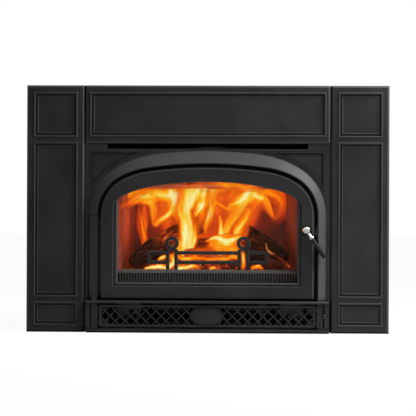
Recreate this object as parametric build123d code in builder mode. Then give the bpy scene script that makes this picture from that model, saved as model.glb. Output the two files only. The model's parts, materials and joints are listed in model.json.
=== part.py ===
"""Wood-burning fireplace insert: cast-iron front, arched glass door, surround and firebox.

Millimetres. +Z is up, the front faces -Y and +X is to the viewer's right. The origin is on the
hearth, in the middle of the width, at the plane where the surround meets the wall.
"""

from build123d import *
from math import atan, atan2, ceil, copysign, cos, degrees, radians, sin, sqrt
import os

os.makedirs("parts", exist_ok=True)

# ---------------------------------------------------------------- driving dimensions
# surround
overall_width = 1000.0
overall_height = 682.0
side_panel_width = 160.0
top_panel_height = 160.0
panel_gap = 2.0            # seam beside the insert, which takes the bracket legs
seam = 0.4                 # seam between other castings
panel_depth = 24.0         # how far the surround stands off the wall
panel_wall = 5.0
panel_bevel = 5.0
field_depth = 3.0          # how far a moulded field is sunk
bead_width = 5.0
bead_height = 2.2
bead_inset = 21.5          # panel edge to the middle of the outer bead
inner_bead_inset = 8.5     # outer bead to the inner bead
inner_bead_width = 4.0
field_split_low = 91.0     # middle of the plain bar between the lower two fields
field_split_rise = 10.0    # the same between the upper two fields, above the top panel's lower edge
field_bar = 18.0           # bead to bead across such a bar
top_bead_inset = 14.5      # the top panel's beads run nearer its ends
boss_offset = 20.0         # seam to a strap screw
boss_half = 6.5            # square bosses that take those screws
strap_recess = 3.5         # straps lie this far in front of the wall plane
strap_sheet = 1.6
strap_half = 14.0
bracket_foot = 31.3        # ledge to the lower brackets
bracket_head = 91.6        # frame top to the upper brackets
side_screw_y = 6.0

# cast front
strip_y = -20.0            # plane of the flat strip round the arch
frame_wall = 6.0
band_front_y = -38.0       # most forward line of the arched band
band_land = 2.5            # narrow flat along that line
side_strip = 12.0          # flat strip between the band and the frame's edge
band_side = 23.0           # width of the sloped band at the jambs
arch_rise = 176.3          # spring to the band's crown
crown_band = 35.8          # width of the sloped band at its crown
band_flatness = 3.43       # crown radius over half span
band_crown_angle = 7.5
band_haunch_angle = 31.7
opening_flatness = 3.89
opening_crown_angle = 8.0
opening_haunch_angle = 28.3
spandrel_drop = 7.0        # air outlet to the spandrel's bead
spandrel_inset = 16.0      # frame edge to the spandrel's bead
spandrel_gap = 9.0         # band to the spandrel's bead
spandrel_bead = 3.5
outlet_height = 14.6
outlet_drop = 5.7          # air outlet to the band's crown
outlet_end = 61.0          # solid block at each end of the air outlet
flange_y = 4.0             # front of the flange that the door closes on
flange_thickness = 8.0

# base casting
ledge_top = 88.7
ledge_bottom = 82.4
ledge_front_y = -46.0
base_front_y = -40.0
lip_top = 11.3
lip_bottom = 4.5
end_block = 37.0           # frame edge to the grille recess
base_end_inset = 3.0
sole_setback = 8.0
pin_seat_depth = 12.0      # ledge to the foot of the lower hinge pin
lever_inset = 18.0         # frame edge to the air lever
lever_slot_width = 4.0
lever_slot_margin = 4.0    # slot beyond the arm's stroke

# grille
grille_gap = 4.0
grille_depth = 5.0
grille_rim = 6.0
strand_width = 3.6
strand_pitch = 28.0        # along X
badge_width = 94.0
badge_height = 54.0
badge_rim = 4.5
peg_half = 3.0             # square pegs that hold the grille in its catches
peg_inset = 12.0
catch_gap = 3.0
catch_depth = 8.0

# door
door_gap = 9.0
door_foot_gap = 6.3
door_front_y = -34.0
door_thickness = 10.0
door_bevel = 4.0
door_stile = 35.5          # door edge to the glass opening
glass_rise = 69.5
door_crown = 40.5          # door edge to the glass opening at the crown
door_sill = 34.0           # door foot to the glass opening
liner_width = 11.5         # stepped reveal at the sides
sill_width = 10.0          # the same along the bottom
liner_depth = 5.5
glass_thickness = 5.0
glass_overlap = 7.0
glass_tape = 1.6
seal_lip = 3.0             # thickness of the lip that presses on the rope
seal_gap = 6.0             # glass edge to the lip
mouth_inset = 4.0          # glass edge to the firebox mouth
rope_size = 8.0
rope_groove = 4.0
post_axis_inset = 14.0     # post's outer face to the hinge axis
post_axis_y = -24.0
post_width = 24.0
post_rear_y = -14.0
post_gap = 2.0
pin_radius = 4.0
pin_clearance = 0.05
pin_depth = 25.0
post_lift = 2.0            # door foot to the post's foot
post_corner = 4.0          # chamfer on the post's rear
post_clearance = 0.8       # swept post to its recess
clip_width = 12.0
clip_thickness = 2.0
clip_screw_radius = 1.6
pad_radius = 3.2

# handle and latch
handle_inset = 22.5        # door edge to the handle's shaft
handle_drop = 41.4         # arch spring to the same shaft
handle_angle = 34.7        # from straight down, towards the right
hub_radius = 12.0
hub_length = 20.0
stem_radius = 4.5
collar_radius = 7.8
collar_start = 22.5
grip_start = 28.0
grip_end = 90.0
grip_radius = 5.3
shaft_radius = 4.5
pawl_hub_radius = 8.0
pawl_length = 26.0
pawl_width = 11.0
pawl_thickness = 6.0
nut_thickness = 5.5
nut_radius = 7.5
keeper_overlap = 10.5
keeper_thickness = 3.6
keeper_plate = 3.0
keeper_screw_offsets = (-11.0, 9.0)
hub_socket = 10.0

# firebox and jacket
firebox_inset = 3.0        # door opening to the firebox's side, at the front
firebox_narrowing = 50.0   # on each side, from front to rear
firebox_rear_y = 400.0
firebox_drop = 9.0         # glass that shows to the firebox's underside
firebox_headroom = 42.6    # top of the firebox to the jacket's top
plate = 5.0
jacket_inset = 4.0         # frame edge to the jacket's side
jacket_narrowing = 48.0
jacket_rear_y = 432.0
jacket_top_drop = 1.0      # front casting's top edge to the jacket's
jacket_sheet = 2.0
weld_gap = 0.1             # between plates that are welded along their edges
pan_bottom = 8.0
pan_sheet = 3.0
brick_thickness = 30.0
brick_joint = 1.0
brick_width = 180.0        # floor bricks
side_brick_count = 3
rear_brick_count = 4
brick_headroom = 83.0      # firebox top to the side bricks' top
baffle_headroom = 52.0     # firebox top to the baffle's underside
baffle_thickness = 20.0
tube_radius = 11.0
tube_wall = 1.5
tube_count = 3
tube_first_y = 86.0
tube_pitch = 95.0
manifold_width = 26.0
manifold_wall = 3.0
baffle_front_y = 62.0
tube_clip_x = -55.0
tube_clip_half = 8.0
tube_clip_sheet = 2.5
leg_width = 40.0
collar_bore = 76.5
collar_wall = 5.5
collar_length = 82.0
collar_flange = 14.0
collar_plate = 6.0
collar_y = 232.0

# hearth lip and log guard
hearth_lip_rise = 33.0     # above the glass that shows
hearth_lip_ledge = 10.0
hearth_lip_depth = 50.0
rib_pitch = 7.7
rib_width = 3.2
rib_depth = 4.0
lip_rib_y = 8.0
air_slot_length = 30.0
air_slot_width = 6.0
air_slot_pitch = 70.0
guard_y = 26.0
guard_thickness = 8.0
guard_overhang = 68.0      # rail end to the middle of a post
guard_post_width = 31.0
guard_slot_width = 16.0
guard_ring_rise = 74.0     # hearth lip to the middle of a ring
guard_ring_radius = 18.0
guard_ring_hole = 10.5
guard_rail = 7.5
guard_upper_rise = 47.0
guard_lower_rise = 20.0
guard_inset = 79.0         # glass that shows to the rails' ends

# fire
ember_height = 16.0
ember_side_gap = 13.0      # ember bed to the side bricks
ember_end_gap = 8.0
back_log_radius = 38.0
front_log_radius = 26.0
left_log_radius = 34.0
right_log_radius = 28.0

# blower
blower_y = 78.0
blower_z = 66.0
wheel_radius = 36.0
wheel_length = 90.0
wheel_blades = 24
motor_radius = 34.0
motor_length = 84.0
shield = 6.0               # step between the motor's drum and its end shields
blower_shaft_radius = 4.0
scroll_wall = 2.0
scroll_gap = 5.0
scroll_side_gap = 3.0      # wheel to the housing's sides
duct_length = 60.0
duct_height = 28.0
blower_foot_half = 20.0
blower_plate_sheet = 3.0
inlet_radius = 26.0
motor_gap = 4.0            # motor to a housing
switch_y = 60.0            # thermal switch under the firebox

# air control
lever_pivot_y = 62.0
lever_z = 48.5
lever_arm = 40.0
lever_swing = 13.0
lever_thickness = 2.5
lever_height = 8.0
knob_radius = 6.5
shutter_thickness = 2.0
port_length = 18.0
knob_length = 12.0
pivot_radius = 3.0
drive_pin_radius = 3.0
drive_pin_length = 6.0
shutter_rise = 9.0         # drive pin to the shutter's underside
inlet_length = 72.0
inlet_offset = 36.0        # lever to the air box
guide_width = 9.0
guide_end = 7.0

# fixings
bolt_radius = 4.0          # frame and collar bolts
head_radius = 7.0
head_height = 5.0
screw_radius = 2.5         # surround, clip and bracket screws
foot_radius = 14.0
foot_inset = 54.0          # jacket's front corner to a levelling bolt, along X
foot_rear_inset = 46.0     # the same at the rear
foot_bolt_radius = 6.0
gland_y = 60.0
gland_z = 34.0
gland_radius = 8.0
gland_bore = 4.0
gland_flange = 6.0
gland_reach = 8.0
tight = 0.3                # running gap that keeps neighbours of different bodies apart

# ---------------------------------------------------------------- derived places
frame_half = overall_width / 2 - side_panel_width - panel_gap
band_half = frame_half - side_strip
opening_half = band_half - band_side
recess_half = frame_half - end_block
lever_x = frame_half - lever_inset
jacket_half = frame_half - jacket_inset
jacket_rear_half = jacket_half - jacket_narrowing
firebox_half_front = opening_half - firebox_inset
firebox_half_rear = firebox_half_front - firebox_narrowing
top_low = overall_height - top_panel_height
frame_top = top_low - seam
field_split_high = top_low + field_split_rise
outlet_bottom = frame_top - outlet_height
spandrel_top = outlet_bottom - spandrel_drop
band_crown = outlet_bottom - outlet_drop
opening_crown = band_crown - crown_band
arch_spring = band_crown - arch_rise
flange_rear_y = flange_y + flange_thickness
jacket_top = frame_top - jacket_top_drop
door_half = opening_half - door_gap
door_rear_y = door_front_y + door_thickness
door_foot = ledge_top + door_foot_gap
glass_half = door_half - door_stile
glass_crown = opening_crown - door_gap - door_crown
glass_spring = glass_crown - glass_rise
glass_bottom = door_foot + door_sill
handle_x = door_half - handle_inset
handle_z = arch_spring - handle_drop
clear_half = glass_half - liner_width
clear_bottom = glass_bottom + sill_width
firebox_front_y = flange_rear_y + plate
firebox_bottom = clear_bottom - firebox_drop
firebox_floor = firebox_bottom + plate
firebox_top = jacket_top - firebox_headroom
brick_top = firebox_top - brick_headroom
baffle_bottom = firebox_top - baffle_headroom
collar_top = firebox_top + collar_length
hearth_lip_top = clear_bottom + hearth_lip_rise
guard_half = clear_half - guard_inset
guard_post_x = guard_half - guard_overhang
guard_ring_z = hearth_lip_top + guard_ring_rise
guard_upper_z = hearth_lip_top + guard_upper_rise
guard_lower_z = hearth_lip_top + guard_lower_rise
brick_floor = firebox_floor + brick_thickness
seal_middle = seal_gap + seal_lip / 2
seal_tip_y = flange_y - rope_size + rope_groove - tight

# base and hinge post
pan_top = pan_bottom + pan_sheet
base_half = frame_half - base_end_inset
pin_seat = ledge_bottom - pin_seat_depth
post_low_x = -band_half
post_axis_x = post_low_x + post_axis_inset
post_foot = door_foot + post_lift
post_reach = sqrt(max(post_axis_inset ** 2 + (post_rear_y - post_corner - post_axis_y) ** 2,
                      (post_axis_inset - post_corner) ** 2 + (post_rear_y - post_axis_y) ** 2))
post_recess_x = post_axis_x - post_reach - post_clearance
post_recess_y = post_axis_y + post_reach + post_clearance

# grille
grille_half = recess_half - grille_gap
grille_low = lip_top + grille_gap + 1
grille_high = ledge_bottom - grille_gap - 1
grille_front_y = base_front_y + 2
grille_rear_y = grille_front_y + grille_depth
strand_layer = grille_depth / 2
badge_z = (grille_low + grille_high) / 2
catch_y = grille_rear_y + catch_gap
catch_places = [(side * (grille_half - peg_inset), z) for side in (-1, 1)
                for z in (grille_low + peg_inset, grille_high - peg_inset)]

# clips, latch and bolts
pad_offset = seal_gap - pad_radius + 0.6
clip_outer = seal_gap - 0.4
clip_inner = glass_overlap - 1.3
pawl_y = seal_tip_y - nut_thickness - pawl_thickness - 4 * tight
keeper_y = pawl_y - 0.4 - keeper_thickness
keeper_inner_x = handle_x + pawl_length - keeper_overlap
keeper_screw_y = (keeper_y + keeper_thickness + flange_y) / 2 + 1
frame_bolt_places = [(side * x, z) for side in (-1, 1)
                     for x, z in ((door_half - 9, clear_bottom + 12), (door_half - 9, arch_spring),
                                  (frame_half / 3, opening_crown - 18.5))]
collar_bolt_reach = (collar_bore + collar_wall + collar_flange / 2) * sin(radians(45))
collar_bolt_places = [(x * collar_bolt_reach, collar_y + y * collar_bolt_reach)
                      for x in (-1, 1) for y in (-1, 1)]

# surround fixings
side_low = frame_half + panel_gap
side_high = overall_width / 2
bracket_levels = (ledge_top + bracket_foot, frame_top - bracket_head)
strap_level = top_low + top_panel_height / 2 - 2
strap_levels = bracket_levels + (strap_level,)
strap_screw_places = [(side * (side_low + boss_offset), z) for side in (-1, 1) for z in strap_levels]
strap_screw_places += [(side * (frame_half - boss_offset), strap_level) for side in (-1, 1)]
side_screw_places = [(side * frame_half, z) for side in (-1, 1) for z in bracket_levels]

# firebox and jacket
front_plate_half = jacket_half - jacket_sheet - 1.5
leg_x = firebox_half_rear * 0.68
leg_y = firebox_rear_y - 50
side_brick_front_y = firebox_front_y + 2 * head_height
floor_front_y = firebox_front_y + hearth_lip_depth - 9
tube_z = (brick_top + baffle_bottom) / 2
tube_places = [tube_first_y + tube_pitch * i for i in range(tube_count)]
air_slot_count = int(2 * clear_half / air_slot_pitch)
foot_places = [(side * x, y) for side in (-1, 1)
               for x, y in ((jacket_half - foot_inset, flange_rear_y + 28),
                            (jacket_rear_half - foot_rear_inset, jacket_rear_y - 37))]

# blower and air control
blower_plate_top = pan_top + blower_plate_sheet
wheel_near = motor_length / 2 + motor_gap + scroll_wall + scroll_side_gap
wheel_far = wheel_near + wheel_length
switch_x = -firebox_half_front / 2
knob_y = ledge_front_y - 4
lever_stroke = (lever_pivot_y - base_front_y) * sin(radians(lever_swing))
lever_slot_reach = lever_stroke + lever_height / 2 + lever_slot_margin
inlet_x1 = lever_x - inlet_offset
inlet_x0 = inlet_x1 - inlet_length
inlet_y0 = lever_pivot_y - inlet_length / 2
inlet_y1 = lever_pivot_y + inlet_length / 2
port_y = lever_pivot_y
tab_x0 = lever_x - 6.5
tab_x1 = lever_x - 3


def at_y(y):
    """Sketch plane facing the viewer at depth y; local axes are X and Z."""
    return Plane.XZ.offset(-y)


def arch_face(half_span, crown, spring, flatness, crown_angle, haunch_angle, foot, grow=0.0):
    """Door-shaped face under a five-centred arch; grow moves its arcs and sides outwards."""
    s1, c1 = sin(radians(crown_angle)), cos(radians(crown_angle))
    s2, c2 = sin(radians(haunch_angle)), cos(radians(haunch_angle))
    crown_radius = flatness * half_span
    across = half_span - crown_radius * s1
    drop = crown - spring - crown_radius * (1 - c1)
    scale = (s2 - s1) * c2 - (1 - s2) * (c1 - c2)
    haunch_radius = (across * c2 - (1 - s2) * drop) / scale
    side_radius = ((s2 - s1) * drop - (c1 - c2) * across) / scale
    crown_centre = crown - crown_radius
    haunch_centre = ((crown_radius - haunch_radius) * s1, crown_centre + (crown_radius - haunch_radius) * c1)
    side_centre = half_span - side_radius
    a = half_span + grow
    with BuildSketch() as face:
        with BuildLine():
            Line((-a, foot), (a, foot))
            Line((a, foot), (a, spring))
            CenterArc((side_centre, spring), side_radius + grow, 0, 90 - haunch_angle)
            CenterArc(haunch_centre, haunch_radius + grow, 90 - haunch_angle, haunch_angle - crown_angle)
            CenterArc((0, crown_centre), crown_radius + grow, 90 - crown_angle, 2 * crown_angle)
            CenterArc((-haunch_centre[0], haunch_centre[1]), haunch_radius + grow, 90 + crown_angle,
                      haunch_angle - crown_angle)
            CenterArc((-side_centre, spring), side_radius + grow, 90 + haunch_angle, 90 - haunch_angle)
            Line((-a, spring), (-a, foot))
        make_face()
    return face.sketch


def band_face(foot, grow=0.0):
    """The band's outer outline."""
    return arch_face(band_half, band_crown, arch_spring, band_flatness, band_crown_angle,
                     band_haunch_angle, foot, grow)


def opening_face(foot, grow=0.0):
    """The door opening's outline."""
    return arch_face(opening_half, opening_crown, arch_spring, opening_flatness, opening_crown_angle,
                     opening_haunch_angle, foot, grow)


def window_face(grow=0.0):
    """The glass opening's outline: upright sides under a half ellipse."""
    a, b, low = glass_half + grow, glass_rise + grow, glass_bottom - grow
    with BuildSketch() as face:
        with BuildLine():
            Line((-a, low), (a, low))
            Line((a, low), (a, glass_spring))
            EllipticalCenterArc((0, glass_spring), a, b, arc_size=180)
            Line((-a, glass_spring), (-a, low))
        make_face()
    return face.sketch


def back_face(grow=0.0):
    """Outline of the glass itself; the seal, the tape and the firebox mouth follow it."""
    a, low = clear_half + glass_overlap + grow, clear_bottom - glass_overlap - grow
    spring = glass_spring + liner_width
    with BuildSketch() as face:
        with BuildLine():
            Line((-a, low), (a, low))
            Line((a, low), (a, spring))
            EllipticalCenterArc((0, spring), a, glass_crown + glass_overlap + grow - spring, arc_size=180)
            Line((-a, spring), (-a, low))
        make_face()
    return face.sketch


def clear_face(grow=0.0):
    """Outline of the glass that shows between the liner's bars."""
    with BuildSketch() as face:
        add(window_face(grow))
        with Locations((0, glass_crown)):
            Rectangle(2 * (clear_half + grow), 2 * (glass_crown - clear_bottom + grow), mode=Mode.INTERSECT)
    return face.sketch


def box_face(x_low, x_high, z_low, z_high):
    """Rectangle given by its limits."""
    with BuildSketch() as face:
        with Locations(((x_low + x_high) / 2, (z_low + z_high) / 2)):
            Rectangle(x_high - x_low, z_high - z_low)
    return face.sketch


def block(x_low, x_high, y_low, y_high, z_low, z_high, mode=Mode.ADD):
    """Box given by its limits, in the part that is being built."""
    centre = ((x_low + x_high) / 2, (y_low + y_high) / 2, (z_low + z_high) / 2)
    with Locations(centre):
        Box(x_high - x_low, y_high - y_low, z_high - z_low, mode=mode)


def rod(x, y_low, y_high, z, radius, mode=Mode.ADD):
    """Cylinder along Y, in the part that is being built."""
    with Locations(Location((x, (y_low + y_high) / 2, z), (90, 0, 0))):
        Cylinder(radius, y_high - y_low, mode=mode)


def upright(x, y, z_low, z_high, radius, mode=Mode.ADD):
    """Cylinder along Z, in the part that is being built."""
    with Locations((x, y, (z_low + z_high) / 2)):
        Cylinder(radius, z_high - z_low, mode=mode)


def cross_rod(x_low, x_high, y, z, radius, mode=Mode.ADD):
    """Cylinder along X, in the part that is being built."""
    with Locations(Location(((x_low + x_high) / 2, y, z), (0, 90, 0))):
        Cylinder(radius, x_high - x_low, mode=mode)


def screw(x, y_low, y_high, z, radius, mode=Mode.ADD):
    """Screw shank along Y, or its hole, with six plain sides; threads stay with the looks."""
    with BuildSketch(at_y(y_high)) as shank:
        with Locations((x, z)):
            RegularPolygon(radius, 6)
    extrude(shank.sketch, amount=y_high - y_low, mode=mode)


def cross_screw(x_low, x_high, y, z, radius, mode=Mode.ADD):
    """The same along X."""
    with BuildSketch(Plane.YZ.offset(x_low)) as shank:
        with Locations((y, z)):
            RegularPolygon(radius, 6)
    extrude(shank.sketch, amount=x_high - x_low, mode=mode)


def upright_screw(x, y, z_low, z_high, radius, mode=Mode.ADD):
    """The same along Z."""
    with BuildSketch(Plane.XY.offset(z_low)) as shank:
        with Locations((x, y)):
            RegularPolygon(radius, 6)
    extrude(shank.sketch, amount=z_high - z_low, mode=mode)


pieces = {}

# ---------------------------------------------------------------- surround panels
panel_front_y = -panel_depth
strap_seat_y = -strap_recess       # rear of the walls along a seam, where straps and brackets lie


def edges_at(part, y):
    """Edges that lie wholly in the plane at depth y."""
    return part.edges().filter_by(lambda e: abs(e.bounding_box().min.Y - y) < 0.01
                                  and abs(e.bounding_box().max.Y - y) < 0.01)


def surround_panel(x_low, x_high, z_low, z_high, fields, seam_walls, bosses):
    """Cast panel, open at the back, with sunk fields inside two beads.

    fields are the outer beads' middle lines, seam_walls the walls that a strap or bracket crosses
    and bosses the places of its screws.
    """
    field_y = panel_front_y + field_depth
    with BuildPart() as panel:
        with BuildSketch(at_y(0)):
            add(box_face(x_low, x_high, z_low, z_high))
        extrude(amount=panel_depth)
        chamfer(edges_at(panel.part, panel_front_y), panel_bevel)
        inset = bead_width / 2
        for x0, x1, z0, z1 in fields:
            with BuildSketch(at_y(panel_front_y)):
                add(box_face(x0 + inset, x1 - inset, z0 + inset, z1 - inset))
            extrude(amount=-field_depth, mode=Mode.SUBTRACT)
        for x0, x1, z0, z1 in fields:
            with BuildSketch(at_y(panel_front_y + 0.5)):
                add(box_face(x0 - inset, x1 + inset, z0 - inset, z1 + inset))
                add(box_face(x0 + inset, x1 - inset, z0 + inset, z1 - inset), mode=Mode.SUBTRACT)
            extrude(amount=bead_height + 0.5)
        chamfer(edges_at(panel.part, panel_front_y - bead_height), bead_height * 0.6)
        for x0, x1, z0, z1 in fields:
            near, far = inner_bead_inset - inner_bead_width / 2, inner_bead_inset + inner_bead_width / 2
            with BuildSketch(at_y(field_y + 0.5)):
                add(box_face(x0 + near, x1 - near, z0 + near, z1 - near))
                add(box_face(x0 + far, x1 - far, z0 + far, z1 - far), mode=Mode.SUBTRACT)
            extrude(amount=field_depth / 2 + 0.5)
        chamfer(edges_at(panel.part, field_y - field_depth / 2), field_depth / 2 * 0.6)
        hollow = panel_depth - field_depth - panel_wall
        block(x_low + panel_wall, x_high - panel_wall, -hollow, 1, z_low + panel_wall, z_high - panel_wall,
              mode=Mode.SUBTRACT)
        for x0, x1, z0, z1 in seam_walls:
            block(x0, x1, strap_seat_y, 1, z0, z1, mode=Mode.SUBTRACT)
        for x, z in bosses:
            block(x - boss_half, x + boss_half, -hollow, strap_seat_y, z - boss_half, z + boss_half)
            screw(x, -hollow + 1, strap_seat_y, z, screw_radius, mode=Mode.SUBTRACT)
    return panel


def side_fields(mirror_sign):
    """The three moulded fields of a side panel, as outer bead lines."""
    x0, x1 = sorted((mirror_sign * (side_low + bead_inset), mirror_sign * (side_high - bead_inset)))
    rows = [(bead_inset, field_split_low - field_bar / 2),
            (field_split_low + field_bar / 2, field_split_high - field_bar / 2),
            (field_split_high + field_bar / 2, overall_height - bead_inset)]
    return [(x0, x1, z0, z1) for z0, z1 in rows]


for name, sign in (("surround_left_panel", -1), ("surround_right_panel", 1)):
    x0, x1 = sorted((sign * side_low, sign * side_high))
    w0, w1 = sorted((sign * (side_low - 1), sign * (side_low + panel_wall)))
    pieces[name] = surround_panel(
        x0, x1, 0, overall_height, side_fields(sign), [(w0, w1, -1, overall_height + 1)],
        [(sign * (side_low + boss_offset), z) for z in strap_levels])

pieces["surround_top_panel"] = surround_panel(
    -frame_half, frame_half, top_low, overall_height,
    [(-frame_half + top_bead_inset, frame_half - top_bead_inset, top_low + bead_inset - 1,
      overall_height - bead_inset)],
    [(-frame_half - 1, -frame_half + panel_wall, top_low - 1, overall_height + 1),
     (frame_half - panel_wall, frame_half + 1, top_low - 1, overall_height + 1)],
    [(sign * (frame_half - boss_offset), strap_level) for sign in (-1, 1)])

# ---------------------------------------------------------------- cast front frame
with BuildPart() as front_frame:
    with BuildSketch(at_y(strip_y + frame_wall)):
        add(box_face(-frame_half, frame_half, ledge_top, frame_top))
    extrude(amount=frame_wall)
    with BuildSketch(at_y(strip_y)):
        add(box_face(-frame_half + outlet_end, frame_half - outlet_end, outlet_bottom, frame_top + 1))
    extrude(amount=-frame_wall, mode=Mode.SUBTRACT)
    # sunk spandrels inside a raised bead
    with BuildSketch(at_y(strip_y)):
        add(box_face(-frame_half + spandrel_inset, frame_half - spandrel_inset, arch_spring, spandrel_top))
        add(band_face(ledge_top, spandrel_gap), mode=Mode.SUBTRACT)
    extrude(amount=-2.5, mode=Mode.SUBTRACT)
    with BuildSketch(at_y(strip_y + 3)):
        add(box_face(-frame_half + spandrel_inset, frame_half - spandrel_inset, arch_spring, spandrel_top))
        add(band_face(ledge_top, spandrel_gap), mode=Mode.SUBTRACT)
        offset(amount=-spandrel_bead, mode=Mode.SUBTRACT)
    extrude(amount=3 + 1.2)
    # sloped band, highest along its inner edge
    with BuildSketch(at_y(strip_y + 1)):
        add(band_face(ledge_top))
    with BuildSketch(at_y(strip_y)):
        add(band_face(ledge_top))
    loft(ruled=True)
    with BuildSketch(at_y(strip_y)):
        add(band_face(ledge_top))
    with BuildSketch(at_y(band_front_y)):
        add(opening_face(ledge_top, band_land))
    loft(ruled=True)
    # jamb, flange and side returns behind the plate
    with BuildSketch(at_y(flange_rear_y)):
        add(opening_face(ledge_top, frame_wall))
    extrude(amount=flange_rear_y - strip_y)
    with BuildSketch(at_y(flange_y)):
        add(opening_face(ledge_top))
    extrude(amount=flange_y - band_front_y + 1, mode=Mode.SUBTRACT)
    for sign in (-1, 1):
        x0, x1 = sorted((sign * frame_half, sign * (frame_half - frame_wall)))
        block(x0, x1, strip_y + 1, flange_rear_y, ledge_top, frame_top)
    # mouth and the groove that holds the door's rope seal
    with BuildSketch(at_y(flange_rear_y + 1)):
        add(back_face(-mouth_inset))
    extrude(amount=flange_thickness + 2, mode=Mode.SUBTRACT)
    with BuildSketch(at_y(flange_y + rope_groove)):
        add(back_face(seal_middle + rope_size / 2 + tight))
        add(back_face(seal_middle - rope_size / 2 - tight), mode=Mode.SUBTRACT)
    extrude(amount=rope_groove + 1, mode=Mode.SUBTRACT)
    # recess for the door's hinge post, with its own rear wall
    block(post_recess_x, -opening_half + 1, band_front_y - 1, post_recess_y, ledge_top - 1, arch_spring,
          mode=Mode.SUBTRACT)
    block(post_recess_x - frame_wall / 2, -opening_half, post_recess_y, post_recess_y + frame_wall,
          ledge_top, arch_spring)
    block(post_recess_x - frame_wall / 2, post_recess_x, strip_y, post_recess_y + frame_wall,
          ledge_top, arch_spring)
    upright(post_axis_x, post_axis_y, arch_spring - 1, arch_spring + pin_depth, pin_radius + pin_clearance,
            mode=Mode.SUBTRACT)
    for x, z in frame_bolt_places:
        screw(x, flange_y + 2, flange_rear_y + 1, z, bolt_radius + pin_clearance, mode=Mode.SUBTRACT)
    for dz in keeper_screw_offsets:
        cross_screw(opening_half - 1, opening_half + frame_wall - 2, keeper_screw_y, handle_z + dz,
                    screw_radius + pin_clearance, mode=Mode.SUBTRACT)
    for x, z in side_screw_places:
        cross_screw(x - 5, x + 5, side_screw_y, z, screw_radius + pin_clearance, mode=Mode.SUBTRACT)
pieces["front_frame"] = front_frame

# ---------------------------------------------------------------- base casting and grille
with BuildPart() as base_front:
    block(-base_half, base_half, ledge_front_y, flange_rear_y, ledge_bottom, ledge_top)
    block(-base_half, base_half, ledge_front_y + 2, base_front_y + frame_wall, lip_bottom, lip_top)
    fillet(base_front.edges().filter_by(Axis.X).group_by(Axis.Y)[0], 2.0)
    block(-base_half, base_half, base_front_y, flange_rear_y, lip_bottom, pan_bottom)
    block(-base_half, base_half, base_front_y + sole_setback, flange_rear_y, 0, lip_bottom)
    for sign in (-1, 1):
        x0, x1 = sorted((sign * base_half, sign * recess_half))
        block(x0, x1, base_front_y, flange_rear_y, pan_bottom, ledge_bottom)
        x0, x1 = sorted((sign * (base_half - frame_wall), sign * (recess_half + frame_wall)))
        block(x0, x1, base_front_y + frame_wall, flange_rear_y + 1, pan_bottom, ledge_bottom,
              mode=Mode.SUBTRACT)
    for x, rear in ((lever_x, base_front_y + frame_wall + 1), (-lever_x, base_front_y + frame_wall / 2)):
        block(x - lever_slot_width / 2, x + lever_slot_width / 2, base_front_y - 1, rear,
              lever_z - lever_slot_reach, lever_z + lever_slot_reach, mode=Mode.SUBTRACT)
    upright(post_axis_x, post_axis_y, pin_seat, ledge_bottom, 2 * pin_radius)
    upright(post_axis_x, post_axis_y, pin_seat, ledge_top + 1, pin_radius + pin_clearance,
            mode=Mode.SUBTRACT)
pieces["base_front"] = base_front

with BuildPart() as grille_panel:
    with BuildSketch(at_y(grille_rear_y)):
        add(box_face(-grille_half, grille_half, grille_low, grille_high))
        add(box_face(-grille_half + grille_rim, grille_half - grille_rim, grille_low + grille_rim,
                     grille_high - grille_rim), mode=Mode.SUBTRACT)
    extrude(amount=grille_depth)
    chamfer(edges_at(grille_panel.part, grille_front_y), 1.2)
    inner = (-grille_half + grille_rim / 2, grille_half - grille_rim / 2, grille_low + grille_rim / 2,
             grille_high - grille_rim / 2)
    strand_length = 2 * (grille_high - grille_low)
    strand_count = 2 * ceil((grille_half + grille_high - grille_low) / strand_pitch)
    for lean, rear in ((45, grille_rear_y), (-45, grille_rear_y - strand_layer + 0.4)):
        with BuildSketch(at_y(rear)):
            with Locations((0, (grille_low + grille_high) / 2)):
                with GridLocations(strand_pitch, 1, strand_count, 1):
                    Rectangle(strand_length, strand_width, rotation=lean)
            add(box_face(*inner), mode=Mode.INTERSECT)
            with Locations((0, badge_z)):
                Ellipse(badge_width / 2 - 2, badge_height / 2 - 2, mode=Mode.SUBTRACT)
        extrude(amount=strand_layer)
    with BuildSketch(at_y(grille_rear_y)):
        with Locations((0, badge_z)):
            Ellipse(badge_width / 2, badge_height / 2)
    extrude(amount=grille_depth + 0.5)
    with BuildSketch(at_y(grille_front_y - 0.5)):
        with Locations((0, badge_z)):
            Ellipse(badge_width / 2 - badge_rim / 2, badge_height / 2 - badge_rim / 2)
            Ellipse(badge_width / 2 - badge_rim, badge_height / 2 - badge_rim, mode=Mode.SUBTRACT)
    extrude(amount=-2.0, mode=Mode.SUBTRACT)
    for x, z in catch_places:
        x0, x1 = sorted((x, copysign(grille_half - grille_rim / 2, x)))
        block(x0, x1, grille_rear_y - strand_layer, grille_rear_y, z - peg_half, z + peg_half)
        block(x - peg_half, x + peg_half, grille_rear_y - 1, catch_y + catch_depth, z - peg_half,
              z + peg_half)
pieces["grille_panel"] = grille_panel

with BuildPart() as grille_catches:
    for x, z in catch_places:
        x0, x1 = sorted((x - copysign(2 * peg_half, x), copysign(recess_half, x)))
        block(x0, x1, catch_y, catch_y + catch_depth, z - 2 * peg_half, z + 2 * peg_half)
        reach = peg_half + pin_clearance
        block(x - reach, x + reach, catch_y - 1, catch_y + catch_depth + 1, z - reach, z + reach,
              mode=Mode.SUBTRACT)
pieces["grille_catches"] = grille_catches

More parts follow.
